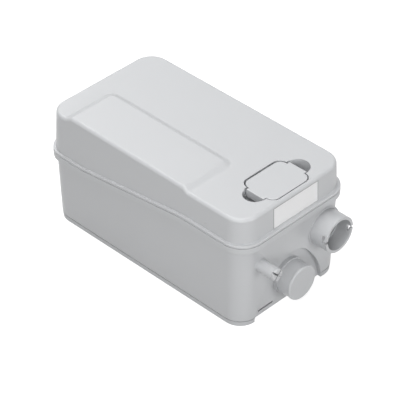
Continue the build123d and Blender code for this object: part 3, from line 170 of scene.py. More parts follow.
def pick(piece, kind, test):
    """Selects the vertices, edges or faces of a piece that pass the test, in edit mode."""
    activate(piece)
    bpy.ops.object.mode_set(mode="EDIT")
    bpy.ops.mesh.select_mode(type=kind)
    bpy.ops.mesh.select_all(action="DESELECT")
    work = bmesh.from_edit_mesh(piece.data)
    work.normal_update()
    rows = {"VERT": work.verts, "EDGE": work.edges, "FACE": work.faces}[kind]
    count = 0
    for row in rows:
        if test(row):
            row.select_set(True)
            count += 1
    work.select_flush_mode()
    bmesh.update_edit_mesh(piece.data)
    return count


def middle(edge):
    """Middle of an edge in millimetres."""
    return (edge.verts[0].co + edge.verts[1].co) / 2 / MM


def fold(edge):
    """Angle between the two faces of an edge, in degrees."""
    if len(edge.link_faces) != 2:
        return 0.0
    return abs(edge.calc_face_angle(0.0)) * 180 / pi


def hollow_corner(edge):
    """True where two faces meet in a hollow corner."""
    return len(edge.link_faces) == 2 and edge.calc_face_angle_signed(0.0) < -0.5


def lowest_normal(edge):
    """Steepest downward lean of the two faces of an edge."""
    return min(face.normal.z for face in edge.link_faces)


def highest_normal(edge):
    """Steepest upward lean of the two faces of an edge."""
    return max(face.normal.z for face in edge.link_faces)


def block(name, low, high):
    """Upright box between two corners."""
    centre = [(a + b) / 2 * MM for a, b in zip(low, high)]
    deselect()
    bpy.ops.mesh.primitive_cube_add(size=1.0, location=centre)
    piece = bpy.context.object
    piece.scale = [(b - a) * MM for a, b in zip(low, high)]
    return settle(piece, name)


def rounded_block(name, size, corner, levels, top=(1.0, 1.0), centre=(0.0, 0.0), segments=14):
    """Upright block with round corners; the top outline is scaled about the middle."""
    length, width = size
    low, high = levels
    x, y = centre
    piece = block(name, (x - length / 2, y - width / 2, low), (x + length / 2, y + width / 2, high))
    pick(piece, "EDGE", lambda e: abs(e.verts[0].co.z - e.verts[1].co.z) > 0.1 * MM)
    bpy.ops.mesh.bevel(offset=corner * MM, segments=segments, profile=0.5, affect="EDGES")
    pick(piece, "VERT", lambda v: v.co.z > (high - 0.01) * MM)
    bpy.ops.transform.resize(value=(top[0], top[1], 1.0), center_override=(x * MM, y * MM, high * MM))
    deselect()
    return piece


def cut(piece, axis, place):
    """Cuts a line across the whole piece."""
    activate(piece)
    bpy.ops.object.mode_set(mode="EDIT")
    bpy.ops.mesh.select_all(action="SELECT")
    point, normal = Vector(), Vector()
    point[axis], normal[axis] = place * MM, 1.0
    bpy.ops.mesh.bisect(plane_co=point, plane_no=normal)
    deselect()


def boolean(piece, tool, way):
    """Joins, cuts or keeps the common part of a piece and a tool, then removes the tool."""
    activate(piece)
    change = piece.modifiers.new("shape", "BOOLEAN")
    change.operation = way
    change.solver = "EXACT"
    change.object = tool
    bpy.ops.object.modifier_apply(modifier=change.name)
    bpy.data.objects.remove(tool)
    return piece


def join(piece, tool):
    """Adds a shape to a piece."""
    return boolean(piece, tool, "UNION")


def carve(piece, tool):
    """Cuts a shape out of a piece."""
    return boolean(piece, tool, "DIFFERENCE")


def bevel(piece, test, width, segments):
    """Rounds the edges that pass the test."""
    count = pick(piece, "EDGE", test)
    if count:
        bpy.ops.mesh.bevel(
            offset=width * MM, segments=segments, profile=0.5, affect="EDGES", clamp_overlap=True
        )
    deselect()
    return count


def tidy_mesh(piece):
    """Merges doubled points and turns all faces outwards."""
    activate(piece)
    bpy.ops.object.mode_set(mode="EDIT")
    bpy.ops.mesh.select_all(action="SELECT")
    bpy.ops.mesh.remove_doubles(threshold=0.002 * MM)
    bpy.ops.mesh.normals_make_consistent(inside=False)
    deselect()


def smooth(piece, angle=40.0):
    """Smooth shading that keeps edges sharper than the angle."""
    activate(piece)
    bpy.ops.object.shade_smooth_by_angle(angle=radians(angle))
    even = piece.modifiers.new("even", "WEIGHTED_NORMAL")
    even.keep_sharp = True
    even.weight = 50
    bpy.ops.object.modifier_apply(modifier=even.name)
    deselect()


def bar(name, radius, start, end, y, z, sides=96):
    """Round bar along X."""
    deselect()
    bpy.ops.mesh.primitive_cylinder_add(
        vertices=sides,
        radius=radius * MM,
        depth=(end - start) * MM,
        location=((start + end) / 2 * MM, y * MM, z * MM),
        rotation=(0, pi / 2, 0),
    )
    return settle(bpy.context.object, name)


def post(name, radius, low, high, x, y, sides=64):
    """Upright round bar."""
    deselect()
    bpy.ops.mesh.primitive_cylinder_add(
        vertices=sides,
        radius=radius * MM,
        depth=(high - low) * MM,
        location=(x * MM, y * MM, (low + high) / 2 * MM),
    )
    return settle(bpy.context.object, name)


def turned(name, rings, y, z, sides=96):
    """Closed round shape about an axis along X, drawn out ring by ring from (x, radius) pairs."""
    deselect()
    x, radius = rings[0]
    bpy.ops.mesh.primitive_circle_add(
        vertices=sides,
        radius=radius * MM,
        fill_type="NGON",
        location=(x * MM, y * MM, z * MM),
        rotation=(0, pi / 2, 0),
    )
    piece = settle(bpy.context.object, name)
    bpy.ops.object.mode_set(mode="EDIT")
    bpy.ops.mesh.select_mode(type="FACE")
    bpy.ops.mesh.select_all(action="SELECT")
    for next_x, next_radius in rings[1:]:
        step = ((next_x - x) * MM, 0, 0)
        bpy.ops.mesh.extrude_region_move(TRANSFORM_OT_translate={"value": step})
        scale = next_radius / radius
        bpy.ops.transform.resize(
            value=(1, scale, scale), center_override=(next_x * MM, y * MM, z * MM)
        )
        x, radius = next_x, next_radius
    deselect()
    tidy_mesh(piece)
    return piece


def follow_seam(piece):
    """Lifts the connection end of a level piece, so that it climbs with the seam."""
    cut(piece, 0, CLIMB_START)
    cut(piece, 0, CLIMB_END)
    pick(piece, "VERT", lambda v: v.co.x > (CLIMB_END - 0.01) * MM)
    bpy.ops.transform.translate(value=(0, 0, (SEAM_HIGH - SEAM_LOW) * MM))
    deselect()
    return piece


def below_seam(rise):
    """Everything below the seam raised by some millimetres."""
    return follow_seam(block("below", (-FAR_X, -FAR_Y, 40.0), (FAR_X, FAR_Y, SEAM_LOW + rise)))


def above_seam(rise):
    """Everything above the seam raised by some millimetres."""
    return follow_seam(block("above", (-FAR_X, -FAR_Y, SEAM_LOW + rise), (FAR_X, FAR_Y, FAR_UP)))


def drafted_block(name, base, growth, corner, low, high, inset):
    """Block with leaning walls: its size at the floor, and what each side gains for a millimetre up."""
    sizes = [
        [side + 2 * level * gain - 2 * inset for side, gain in zip(base, growth)] for level in (low, high)
    ]
    top = [b / a for a, b in zip(*sizes)]
    return rounded_block(name, sizes[0], corner - inset, (low, high), top)


def tank_block(name, low, high, inset=0.0):
    """Block between two levels with the leaning walls of the tank."""
    growth = (tan(radians(END_DRAFT)), tan(radians(SIDE_DRAFT)))
    return drafted_block(name, (BASE_LENGTH, BASE_WIDTH), growth, CORNER, low, high, inset)


def lid_block(name, low, high, inset=0.0):
    """Block between two levels with the leaning walls of the lid."""
    lean = tan(radians(LID_DRAFT))
    base = (LID_LENGTH + 2 * LID_TOP * lean, LID_WIDTH + 2 * LID_TOP * lean)
    return drafted_block(name, base, (-lean, -lean), LID_CORNER, low, high, inset)


def seam_block(name, inset, low, high):
    """Block between two rises over the seam, set in from the edge of the flanges."""
    size = (FLANGE_LENGTH - 2 * inset, FLANGE_WIDTH - 2 * inset)
    piece = rounded_block(name, size, FLANGE_CORNER - inset, (SEAM_LOW + low, SEAM_LOW + high))
    return follow_seam(piece)


def gasket_ring(name, gap, low, high):
    """Ring along the seam, wider than the gasket by a gap on both sides."""
    ring = seam_block(name, GASKET_INSET - gap, low, high)
    return carve(ring, seam_block("inside", GASKET_INSET + GASKET_WIDTH + gap, low - 1, high + 1))


def flange_ring(name, low, high, rounding, inner):
    """Flange band between two rises over the seam; rounding is the (top, bottom) edge size."""
    ring = seam_block(name, 0.0, low, high)
    for side, width in zip((1, -1), rounding):
        bevel(
            ring,
            lambda e: (
                fold(e) > 40
                and any(f.normal.z * side > 0.9 for f in e.link_faces)
                and any(abs(f.normal.z) < 0.3 for f in e.link_faces)
            ),
            width,
            3,
        )
    return carve(ring, inner)


def panel_form():
    """Raised panel with its ramps, open past the near side of the lid."""
    sink, overlap = 1.0, 1.0 * PANEL_RAMP / PANEL_RISE_BACK
    back, front = PANEL_BACK - overlap, PANEL_FRONT + overlap
    inner = PANEL_INNER + overlap
    piece = block("panel", (back, -92.0, LID_TOP - 5.0), (front, inner, LID_TOP - sink))
    pick(piece, "EDGE", lambda e: abs(e.verts[0].co.z - e.verts[1].co.z) > MM and middle(e).y > -50)
    bpy.ops.mesh.bevel(offset=PANEL_CORNER * MM, segments=10, profile=0.5, affect="EDGES")
    pick(piece, "FACE", lambda f: f.normal.z > 0.9)
    bpy.ops.mesh.inset(thickness=(PANEL_RAMP + overlap) * MM)
    rise = (PANEL_RISE_BACK + PANEL_RISE_FRONT) / 2 + sink
    bpy.ops.transform.translate(value=(0, 0, rise * MM))
    run = PANEL_FRONT - PANEL_BACK - 2 * PANEL_RAMP
    slope = (PANEL_RISE_BACK - PANEL_RISE_FRONT) / run
    centre_x = (PANEL_FRONT + PANEL_BACK) / 2 * MM
    work = bmesh.from_edit_mesh(piece.data)
    for vert in work.verts:
        if vert.select:
            vert.co.z -= (vert.co.x - centre_x) * slope
    bmesh.update_edit_mesh(piece.data)
    deselect()
    pick(piece, "VERT", lambda v: v.co.z > (LID_TOP + 1) * MM and v.co.x < centre_x)
    bpy.ops.transform.translate(value=(BACK_RAMP_EXTRA * MM, 0, 0))
    pick(piece, "VERT", lambda v: v.co.z > (LID_TOP + 1) * MM and v.co.y > -50 * MM)
    bpy.ops.transform.translate(value=(0, -INNER_RAMP_EXTRA * MM, 0))
    deselect()
    return piece


def crown(name, inset):
    """Lid block with the raised panel on top, all set in by some millimetres."""
    piece = lid_block(name, 80.0, 156.0, inset)
    over = block("over", (-FAR_X, -FAR_Y, LID_TOP), (FAR_X, FAR_Y, FAR_UP))
    carve(over, panel_form())
    over.location.z = -inset * MM
    return carve(piece, settle(over, "over"))


def on_top_crease(edge):
    """True for the soft creases of the raised panel."""
    return 12 < fold(edge) and middle(edge).z > LID_TOP - 0.5 and lowest_normal(edge) > 0.5


def on_rim(edge):
    """True for the outer edges on top of the lid."""
    if middle(edge).z < LID_TOP - WALL - 0.5 or fold(edge) < 30:
        return False
    return lowest_normal(edge) < 0.4 and highest_normal(edge) > 0.5


def cover_form(name, gap, low, high, well_gap=None):
    """Outline of the filter cover grown by a gap; with a well gap it takes in the finger wells."""
    size = (COVER_LENGTH + 2 * gap, COVER_WIDTH + 2 * gap)
    centre = (COVER_X, COVER_Y)
    form = rounded_block(name, size, COVER_CORNER + gap, (low, high), centre=centre, segments=10)
    arm = (ARM_LENGTH / 2 + gap, ARM_WIDTH / 2 + gap)
    arm_low = (COVER_X - arm[0], COVER_Y - arm[1], low)
    arm_high = (COVER_X + arm[0], COVER_Y + arm[1], high)
    join(form, block("arm", arm_low, arm_high))
    if well_gap is not None:
        for side in (-1, 1):
            well_y = COVER_Y + side * WELL_OFFSET
            join(form, post("well", WELL_RADIUS + well_gap, low, high, COVER_X, well_y))
    return form


def label_block(name, gap, wide_gap, outer, inner):
    """Thin block along the leaning end wall of the lid, grown by a gap or by a wide one."""
    z = LABEL_LOW + LABEL_HEIGHT / 2
    x = LID_LENGTH / 2 + (LID_TOP - z) * tan(radians(LID_DRAFT))
    half_width, half_height = LABEL_WIDTH / 2, LABEL_HEIGHT / 2
    piece = block(
        name,
        (inner, -half_width - wide_gap, -half_height - gap),
        (outer, half_width + gap, half_height + wide_gap),
    )
    piece.rotation_euler = (0, -radians(LID_DRAFT), 0)
    piece.location = (x * MM, LABEL_Y * MM, z * MM)
    return settle(piece, name)


def near_cover(place, reach):
    """True for places close to the middle of the filter cover."""
    return hypot(place.x - COVER_X, place.y - COVER_Y) < reach


def under_lid_flange(edge):
    """True for the hollow corner where the lid wall meets its flange."""
    place = middle(edge)
    return (
        hollow_corner(edge)
        and highest_normal(edge) > 0.9
        and abs(lowest_normal(edge)) < 0.2
        and place.z < SEAM_HIGH + LID_BAND + 0.3
        and max(abs(place.x) / LID_LENGTH, abs(place.y) / LID_WIDTH) > 0.49
    )


def on_pocket_edge(edge):
    """True for the upper edges of the filter pocket and the finger wells."""
    place = middle(edge)
    return (
        fold(edge) > 40
        and place.z > LID_TOP - 0.3
        and near_cover(place, 50)
        and abs(place.x - COVER_X) < COVER_LENGTH / 2 + COVER_GAP + 0.5
        and lowest_normal(edge) < 0.2
    )


def lid_shell():
    """Open lid with leaning walls, the raised panel and the flange."""
    lid = crown("lid_shell", 0.0)
    bevel(lid, on_top_crease, 1.6, 3)
    bevel(lid, on_rim, 4.0, 7)
    cavity = crown("cavity", WALL)
    bevel(cavity, on_rim, 2.0, 3)
    carve(lid, below_seam(SEAM_GAP))
    carve(lid, cavity)
    ring = flange_ring("lid_band", SEAM_GAP, LID_BAND, (0.8, 0.3), lid_block("core", 60, 160, OVERLAP))
    join(lid, ring)
    rim = seam_block("rim", -2.0, -2.0, 0.9)
    carve(lid, carve(rim, seam_block("rim_core", 2.0, -4.0, 3.0)))
    bevel(lid, under_lid_flange, 1.5, 4)
    tidy_mesh(lid)
    return lid


def add_filter_pocket(lid):
    """Pocket for the filter cover with its finger wells, and a grille in its floor."""
    low, wall_top = LID_TOP - WELL_DEPTH, LID_TOP - 1.2
    wall = COVER_GAP + POCKET_WALL
    join(lid, cover_form("pocket_wall", wall, low - POCKET_WALL, wall_top, POCKET_WALL))
    carve(lid, cover_form("pocket", COVER_GAP, low, FAR_UP, 0.0))
    wide = cover_form("wide_gap", COVER_GAP, LID_TOP - 10, FAR_UP)
    wide.location.x = -0.9 * MM
    carve(lid, settle(wide, "wide_gap"))
    bevel(lid, on_pocket_edge, 0.9, 4)
    levels = (low - 3 * POCKET_WALL, low + 1)
    size = (GRILLE_WIDTH, GRILLE_LENGTH)
    for step in range(GRILLE_SLOTS):
        x = COVER_X + (step - (GRILLE_SLOTS - 1) / 2) * GRILLE_PITCH
        carve(lid, rounded_block("grille", size, GRILLE_CORNER, levels, centre=(x, COVER_Y), segments=6))


def add_lip(lid):
    """Locating lip that reaches down inside the tank."""
    lip = tank_block("lip", 70, 130, WALL + LIP_GAP)
    carve(lip, tank_block("lip_hole", 60, 140, WALL + LIP_GAP + LIP_WALL))
    carve(lip, below_seam(-LIP_DEPTH))
    carve(lip, above_seam(2.5))
    join(lid, lip)


def make_lid():
    """Lid with its filter pocket, label recess, locating lip and gland hole."""
    lid = lid_shell()
    add_filter_pocket(lid)
    carve(lid, label_block("label_place", LABEL_GAP, LABEL_WIDE_GAP, 8.0, -LABEL_DEPTH))
    add_lip(lid)
    carve(lid, bar("gland_hole", GLAND_RADIUS, -170, -135, GLAND_Y, GLAND_Z, 48))
    carve(lid, dimple())
    smooth(lid)
    return lid


def dimple():
    """Tiny round sink in the near wall of the lid, over the flange."""
    deselect()
    bpy.ops.mesh.primitive_uv_sphere_add(
        segments=16, ring_count=8, radius=0.7 * MM, location=[place * MM for place in DIMPLE]
    )
    return settle(bpy.context.object, "dimple")


def drawn(name, outline, start, end):
    """Block whose outline across X is drawn corner by corner, then pulled along X."""
    deselect()
    y, z = outline[0]
    bpy.ops.mesh.primitive_plane_add(size=MM, location=(start * MM, y * MM, z * MM))
    piece = settle(bpy.context.object, name)
    bpy.ops.object.mode_set(mode="EDIT")
    bpy.ops.mesh.select_mode(type="VERT")
    bpy.ops.mesh.select_all(action="SELECT")
    bpy.ops.mesh.merge(type="CENTER")
    for next_y, next_z in outline[1:]:
        step = (0, (next_y - y) * MM, (next_z - z) * MM)
        bpy.ops.mesh.extrude_region_move(TRANSFORM_OT_translate={"value": step})
        y, z = next_y, next_z
    bpy.ops.mesh.select_all(action="SELECT")
    bpy.ops.mesh.edge_face_add()
    bpy.ops.mesh.extrude_region_move(TRANSFORM_OT_translate={"value": ((end - start) * MM, 0, 0)})
    deselect()
    tidy_mesh(piece)
    return piece


def arc(centre, radius, start, end, steps):
    """Points along an arc between two angles in degrees."""
    turns = [radians(start + (end - start) * step / steps) for step in range(steps + 1)]
    return [(centre[0] + radius * cos(turn), centre[1] + radius * sin(turn)) for turn in turns]


def arch_form(name, inset, start):
    """Arched block: a round crown, two bulging sides and upright feet, grown by an inset."""
    side = ARCH_SIDE_RADIUS + inset
    rise = ARCH_CROWN_Z - ARCH_SIDE_Z
    crown_radius = side - hypot(ARCH_SIDE_Y, rise)
    foot = ARCH_HALF_FOOT + inset
    foot_turn = degrees(acos((foot + ARCH_SIDE_Y) / side))
    shoulder_turn = degrees(atan2(rise, ARCH_SIDE_Y))
    half = [(foot, -5.0)]
    half += arc((-ARCH_SIDE_Y, ARCH_SIDE_Z), side, foot_turn, shoulder_turn, 12)
    half += arc((0.0, ARCH_CROWN_Z), crown_radius, shoulder_turn, 90.0, 12)[1:]
    whole = half + [(-y, z) for y, z in reversed(half[:-1])]
    return drawn(name, [(ARCH_Y + y, z) for y, z in whole], start, FAR_X)


def on_arch_edge(edge):
    """True for the front edge of the arched recess, above the foot band."""
    place = middle(edge)
    return (
        fold(edge) > 40
        and place.x > RECESS_X + 2
        and FOOT_BAND + 1 < place.z < 70
        and abs(place.y) < 60
        and any(face.normal.x > 0.9 for face in edge.link_faces)
        and abs(edge.verts[0].co.x - edge.verts[1].co.x) < 3 * MM
    )


def on_outlet_end(edge):
    """True for the edges on the open end of the spigot."""
    place = middle(edge)
    return (
        fold(edge) > 60
        and not hollow_corner(edge)
        and abs(place.x - OUTLET_END) < 0.05
        and hypot(place.y - OUTLET_Y, place.z - OUTLET_Z) < OUTLET_RADIUS + 1
    )


def tank_outside():
    """Solid tank with its foot band, the groove above it and the arched recess."""
    tank = tank_block("tank_shell", FOOT_BAND, 125.0)
    pick(tank, "FACE", lambda f: f.normal.z < -0.9)
    bpy.ops.mesh.inset(thickness=FOOT_INSET * MM)
    bpy.ops.mesh.extrude_region_move(TRANSFORM_OT_translate={"value": (0, 0, -FOOT_BAND * MM)})
    deselect()
    carve(tank, above_seam(-HAIR))
    groove = tank_block("groove", FOOT_BAND, FOOT_BAND + FOOT_GROOVE, -2.0)
    carve(groove, tank_block("groove_core", FOOT_BAND - 1, FOOT_BAND + 2, FOOT_INSET))
    carve(tank, groove)
    carve(tank, arch_form("arch", 0.0, RECESS_X))
    bevel(tank, on_arch_edge, 1.6, 4)
    return tank


def tank_space():
    """Room inside the tank, with the deck posts, the spigot's boss and the hose stub left standing."""
    space = tank_block("cavity", FLOOR_TOP, 130.0, WALL)
    carve(space, arch_form("arch_wall", WALL, RECESS_X - WALL))
    for x in POST_ROWS:
        for side in (-1, 1):
            carve(space, post("deck_post", POST_RADIUS, 0, DECK_LEVEL, x, side * POST_Y, 48))
            low, high = sorted((side * POST_Y, side * 90.0))
            carve(space, block("web", (x - POST_RADIUS, low, 0), (x + POST_RADIUS, high, DECK_LEVEL)))
    carve(space, bar("seat_boss", SEAT_RADIUS, SEAT_BACK_X, FAR_X, OUTLET_Y, OUTLET_Z))
    carve(space, bar("stub", STUB_RADIUS, STUB_X, 140.0, OUTLET_Y, OUTLET_Z))
    return space


def tank_underside():
    """Hollow under the tank floor, around the centre foot."""
    under = tank_block("under", -1.0, FLOOR_LOW, WALL + FOOT_INSET)
    carve(under, arch_form("arch_wall", WALL, RECESS_X - WALL))
    return carve(under, post("centre_foot", FOOT_RADIUS, -5, 10, 0, 0))


def add_inlet(tank):
    """Low inlet spigot in the arched recess."""
    start = RECESS_X - 2
    join(tank, bar("inlet", INLET_RADIUS, start, INLET_END, INLET_Y, INLET_Z))
    join(tank, bar("inlet_collar", INLET_COLLAR, start, INLET_COLLAR_X, INLET_Y, INLET_Z))
    carve(tank, bar("inlet_bore", INLET_BORE, RECESS_X - 5, FAR_X, INLET_Y, INLET_Z))


def add_outlet(tank):
    """Open spigot with its collar, inner ring and the way to the hose stub."""
    join(tank, bar("outlet", OUTLET_RADIUS, SEAT_X, OUTLET_END, OUTLET_Y, OUTLET_Z))
    join(tank, bar("outlet_collar", OUTLET_COLLAR, SEAT_X + 1, OUTLET_COLLAR_X, OUTLET_Y, OUTLET_Z))
    carve(tank, bar("outlet_bore", OUTLET_BORE, SEAT_X, FAR_X, OUTLET_Y, OUTLET_Z))
    ring = bar("bore_rim", OUTLET_BORE + 1, RING_START, RING_END, OUTLET_Y, OUTLET_Z)
    join(tank, carve(ring, bar("rim_hole", RING_BORE, 140, 150, OUTLET_Y, OUTLET_Z)))
    carve(tank, bar("stub_bore", STUB_BORE, 100, 150, OUTLET_Y, OUTLET_Z))


def add_small_spigot(tank):
    """Small spigot with its collar."""
    join(tank, bar("small", SMALL_RADIUS, SMALL_START, SMALL_END, SMALL_Y, SMALL_Z, 64))
    join(tank, bar("small_collar", SMALL_COLLAR, SMALL_START + 0.5, SMALL_COLLAR_X, SMALL_Y, SMALL_Z, 64))
    carve(tank, bar("small_bore", SMALL_BORE, 130, FAR_X, SMALL_Y, SMALL_Z, 64))


def bayonet(tank, side, turn):
    """One of the two turned slots in the rim of the open spigot."""
    y, half, back = OUTLET_Y + side * OUTLET_RADIUS, SLOT_WIDTH / 2, OUTLET_END - SLOT_LENGTH
    near, far = y - SLOT_REACH, y + SLOT_REACH
    carve(tank, block("slot", (back, near, OUTLET_Z - half), (175, far, OUTLET_Z + half)))
    low, high = sorted((OUTLET_Z - side * (turn + half), OUTLET_Z + side * half))
    carve(tank, block("turn", (back, near, low), (back + SLOT_WIDTH, far, high)))


def add_vent(tank):
    """Slot in the foot of the tank, with a small chamber behind it."""
    low, high = VENT_Y - VENT_LENGTH / 2, VENT_Y + VENT_LENGTH / 2
    join(tank, block("chamber", (126, low - 2, 0.5), (136, high + 2, 8)))
    carve(tank, block("chamber_space", (128, low, 1.5), (136.5, high, 8.5)))
    carve(tank, block("vent", (130, low, VENT_LOW), (139, high, VENT_HIGH)))


def make_tank():
    """Tank with its flange, gasket groove, pipe connections and vent."""
    tank = tank_outside()
    carve(tank, tank_space())
    carve(tank, tank_underside())
    core = tank_block("core", 40, 140, OVERLAP)
    join(tank, flange_ring("tank_band", -TANK_BAND, 0.0, (0.6, 1.0), core))
    carve(tank, gasket_ring("gasket_groove", GROOVE_GAP, -GASKET_DEPTH, 2.0))
    add_inlet(tank)
    add_outlet(tank)
    add_small_spigot(tank)
    bayonet(tank, -1, 6.0)
    bayonet(tank, 1, 4.5)
    add_vent(tank)
    bevel(tank, on_outlet_end, 0.4, 2)
    smooth(tank)
    return tank


def make_filter_cover():
    """Filter cover: a plate with a deep skirt and softly rounded upper edges."""
    cover = cover_form("cover_shell", 0.0, LID_TOP - COVER_SKIRT, LID_TOP)
    half_length, half_width = COVER_LENGTH / 2 - 2.0, COVER_WIDTH / 2 - 4.0
    carve(
        cover,
        block(
            "cover_hollow",
            (COVER_X - half_length, COVER_Y - half_width, LID_TOP - 2 * COVER_SKIRT),
            (COVER_X + half_length, COVER_Y + half_width, LID_TOP - 2.6),
        ),
    )
    bevel(cover, lambda e: fold(e) > 40 and middle(e).z > LID_TOP - 0.01, 0.7, 3)
    smooth(cover)
    return cover


def on_label_corner(edge):
    """True for the four short edges across the thickness of the label."""
    step = edge.verts[0].co - edge.verts[1].co
    return fold(edge) > 40 and abs(step.x) < 0.3 * MM and abs(step.y) < 0.1 * MM and abs(step.z) < 0.1 * MM


def make_label():
    """Bare label plate with slightly softened edges, widened on its near side and at the top by the strip
    that carries painted shade.
    """
    back, front = -LABEL_DEPTH, LABEL_THICKNESS - LABEL_DEPTH
    label = label_block("label_plate", 0.0, LABEL_SHADE_STRIP, front, back)
    bevel(label, on_label_corner, 0.6, 3)
    bevel(label, lambda e: fold(e) > 40, 0.12, 2)
    smooth(label)
    return label


def make_inlet_plug():
    """Blanking plug: a grooved disc with a rounded face edge and a hollow skirt."""
    back, face = INLET_END, INLET_END + 3.5
    rings = [
        (back - 12.0, 14.2),
        (back - 12.0, 17.0),
        (back - 11.6, 17.4),
        (back - 9.0, 17.4),
        (back - 9.0, 15.6),
        (back - 7.0, 15.6),
        (back - 7.0, 17.4),
        (back, 17.4),
        (back, 20.1),
        (back + 0.3, 20.4),
        (back + 1.0, 20.4),
        (back + 1.15, 19.95),
        (back + 1.45, 19.95),
        (back + 1.6, 20.4),
    ]
    rings += arc((face - 1.8, 18.6), 1.8, 90.0, 0.0, 8)[1:]
    plug = turned("plug_shell", rings, INLET_Y, INLET_Z, 128)
    carve(plug, bar("plug_hollow", 14.2, back - 14, back, INLET_Y, INLET_Z))
    smooth(plug, 35)
    return plug


def make_small_plug():
    """Small plug with a cross slot in its head."""
    face = SMALL_END + 3.4
    rings = [
        (SMALL_END - 10.0, 4.6),
        (SMALL_END - 9.4, 5.1),
        (SMALL_END, 5.1),
        (SMALL_END, 6.9),
        (SMALL_END + 0.2, 7.1),
        (face - 1.0, 7.1),
        (face - 0.4, 6.9),
        (face - 0.1, 6.5),
        (face, 6.1),
    ]
    plug = turned("small_plug_shell", rings, SMALL_Y, SMALL_Z, 64)
    for turn in (-45, 45):
        tool = block("cross", (-6.0, -12.0, -0.9), (5.0, 12.0, 0.9))
        tool.rotation_euler = (radians(turn), 0, 0)
        tool.location = (face * MM, SMALL_Y * MM, SMALL_Z * MM)
        carve(plug, settle(tool, "cross"))
    smooth(plug, 35)
    return plug


def make_gasket():
    """Rubber ring in the groove of the tank flange."""
    gasket = gasket_ring("gasket_band", 0.0, -GASKET_DEPTH, SEAM_GAP)
    bevel(gasket, lambda e: fold(e) > 60 and abs(middle(e).z - SEAM_LOW) < 22, 0.2, 2)
    smooth(gasket)
    return gasket


def turned_across(name, radius, half_width, x, y, z):
    """Round bar along Y."""
    tool = bar(name, radius, -half_width, half_width, 0, 0, 48)
    tool.rotation_euler = (0, 0, pi / 2)
    tool.location = (x * MM, y * MM, z * MM)
    return settle(tool, name)


def make_flap():
    """Rubber disc that hangs from a snap-on knuckle."""
    front = FLAP_X + FLAP_THICKNESS
    rings = [
        (FLAP_X, FLAP_RADIUS - 0.3),
        (FLAP_X + 0.3, FLAP_RADIUS),
        (front - 0.3, FLAP_RADIUS),
        (front, FLAP_RADIUS - 0.3),
    ]
    flap = turned("flap_disc", rings, OUTLET_Y, OUTLET_Z, 96)
    half = KNUCKLE_WIDTH / 2
    join(flap, turned_across("knuckle", KNUCKLE_RADIUS, half, FLAP_PIN_X, OUTLET_Y, FLAP_PIN_Z))
    low = (FLAP_X, OUTLET_Y - half, FLAP_PIN_Z - 2 * KNUCKLE_RADIUS)
    join(flap, block("strap", low, (FLAP_X + KNUCKLE_RADIUS, OUTLET_Y + half, FLAP_PIN_Z)))
    hole = FLAP_PIN_RADIUS + 0.05
    carve(flap, turned_across("pin_hole", hole, 20.0, FLAP_PIN_X, OUTLET_Y, FLAP_PIN_Z))
    snap = (FLAP_PIN_X - 3, OUTLET_Y - 10, FLAP_PIN_Z + 0.3)
    carve(flap, block("snap", snap, (FLAP_PIN_X + 3, OUTLET_Y + 10, FLAP_PIN_Z + 4)))
    smooth(flap)
    return flap


def make_plug_seal():
    """Round rubber ring in the skirt of the inlet plug."""
    circle = INLET_BORE - 0.1 - SEAL_RADIUS
    ring = turned("seal_band", arc((SEAL_X, circle), SEAL_RADIUS, 180.0, 0.0, 12), INLET_Y, INLET_Z)
    carve(ring, bar("seal_hole", circle - SEAL_RADIUS + 0.2, SEAL_X - 5, SEAL_X + 5, INLET_Y, INLET_Z))
    smooth(ring, 50)
    return ring


def make_filter_pad():
    """Charcoal pad under the filter cover."""
    low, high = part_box("carbon_filter")
    size = [(b - a) / MM for a, b in zip(low, high)]
    centre = [(a + b) / 2 / MM for a, b in zip(low, high)]
    pad = rounded_block("pad", size[:2], 2.0, (low[2] / MM, high[2] / MM), centre=centre[:2], segments=4)
    bevel(pad, lambda e: fold(e) > 60 and abs(e.verts[0].co.z - e.verts[1].co.z) < 0.1 * MM, 0.8, 3)
    smooth(pad)
    return pad


def make_damper():
    """Rubber ring between the deck and the motor flange."""
    low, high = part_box("motor_damper")
    levels = (low[2] / MM, high[2] / MM)
    ring = post("damper_ring", DAMPER_RADIUS, *levels, PUMP_X, PUMP_Y, 128)
    carve(ring, post("damper_hole", DAMPER_BORE, levels[0] - 1, levels[1] + 1, PUMP_X, PUMP_Y, 128))
    smooth(ring)
    return ring


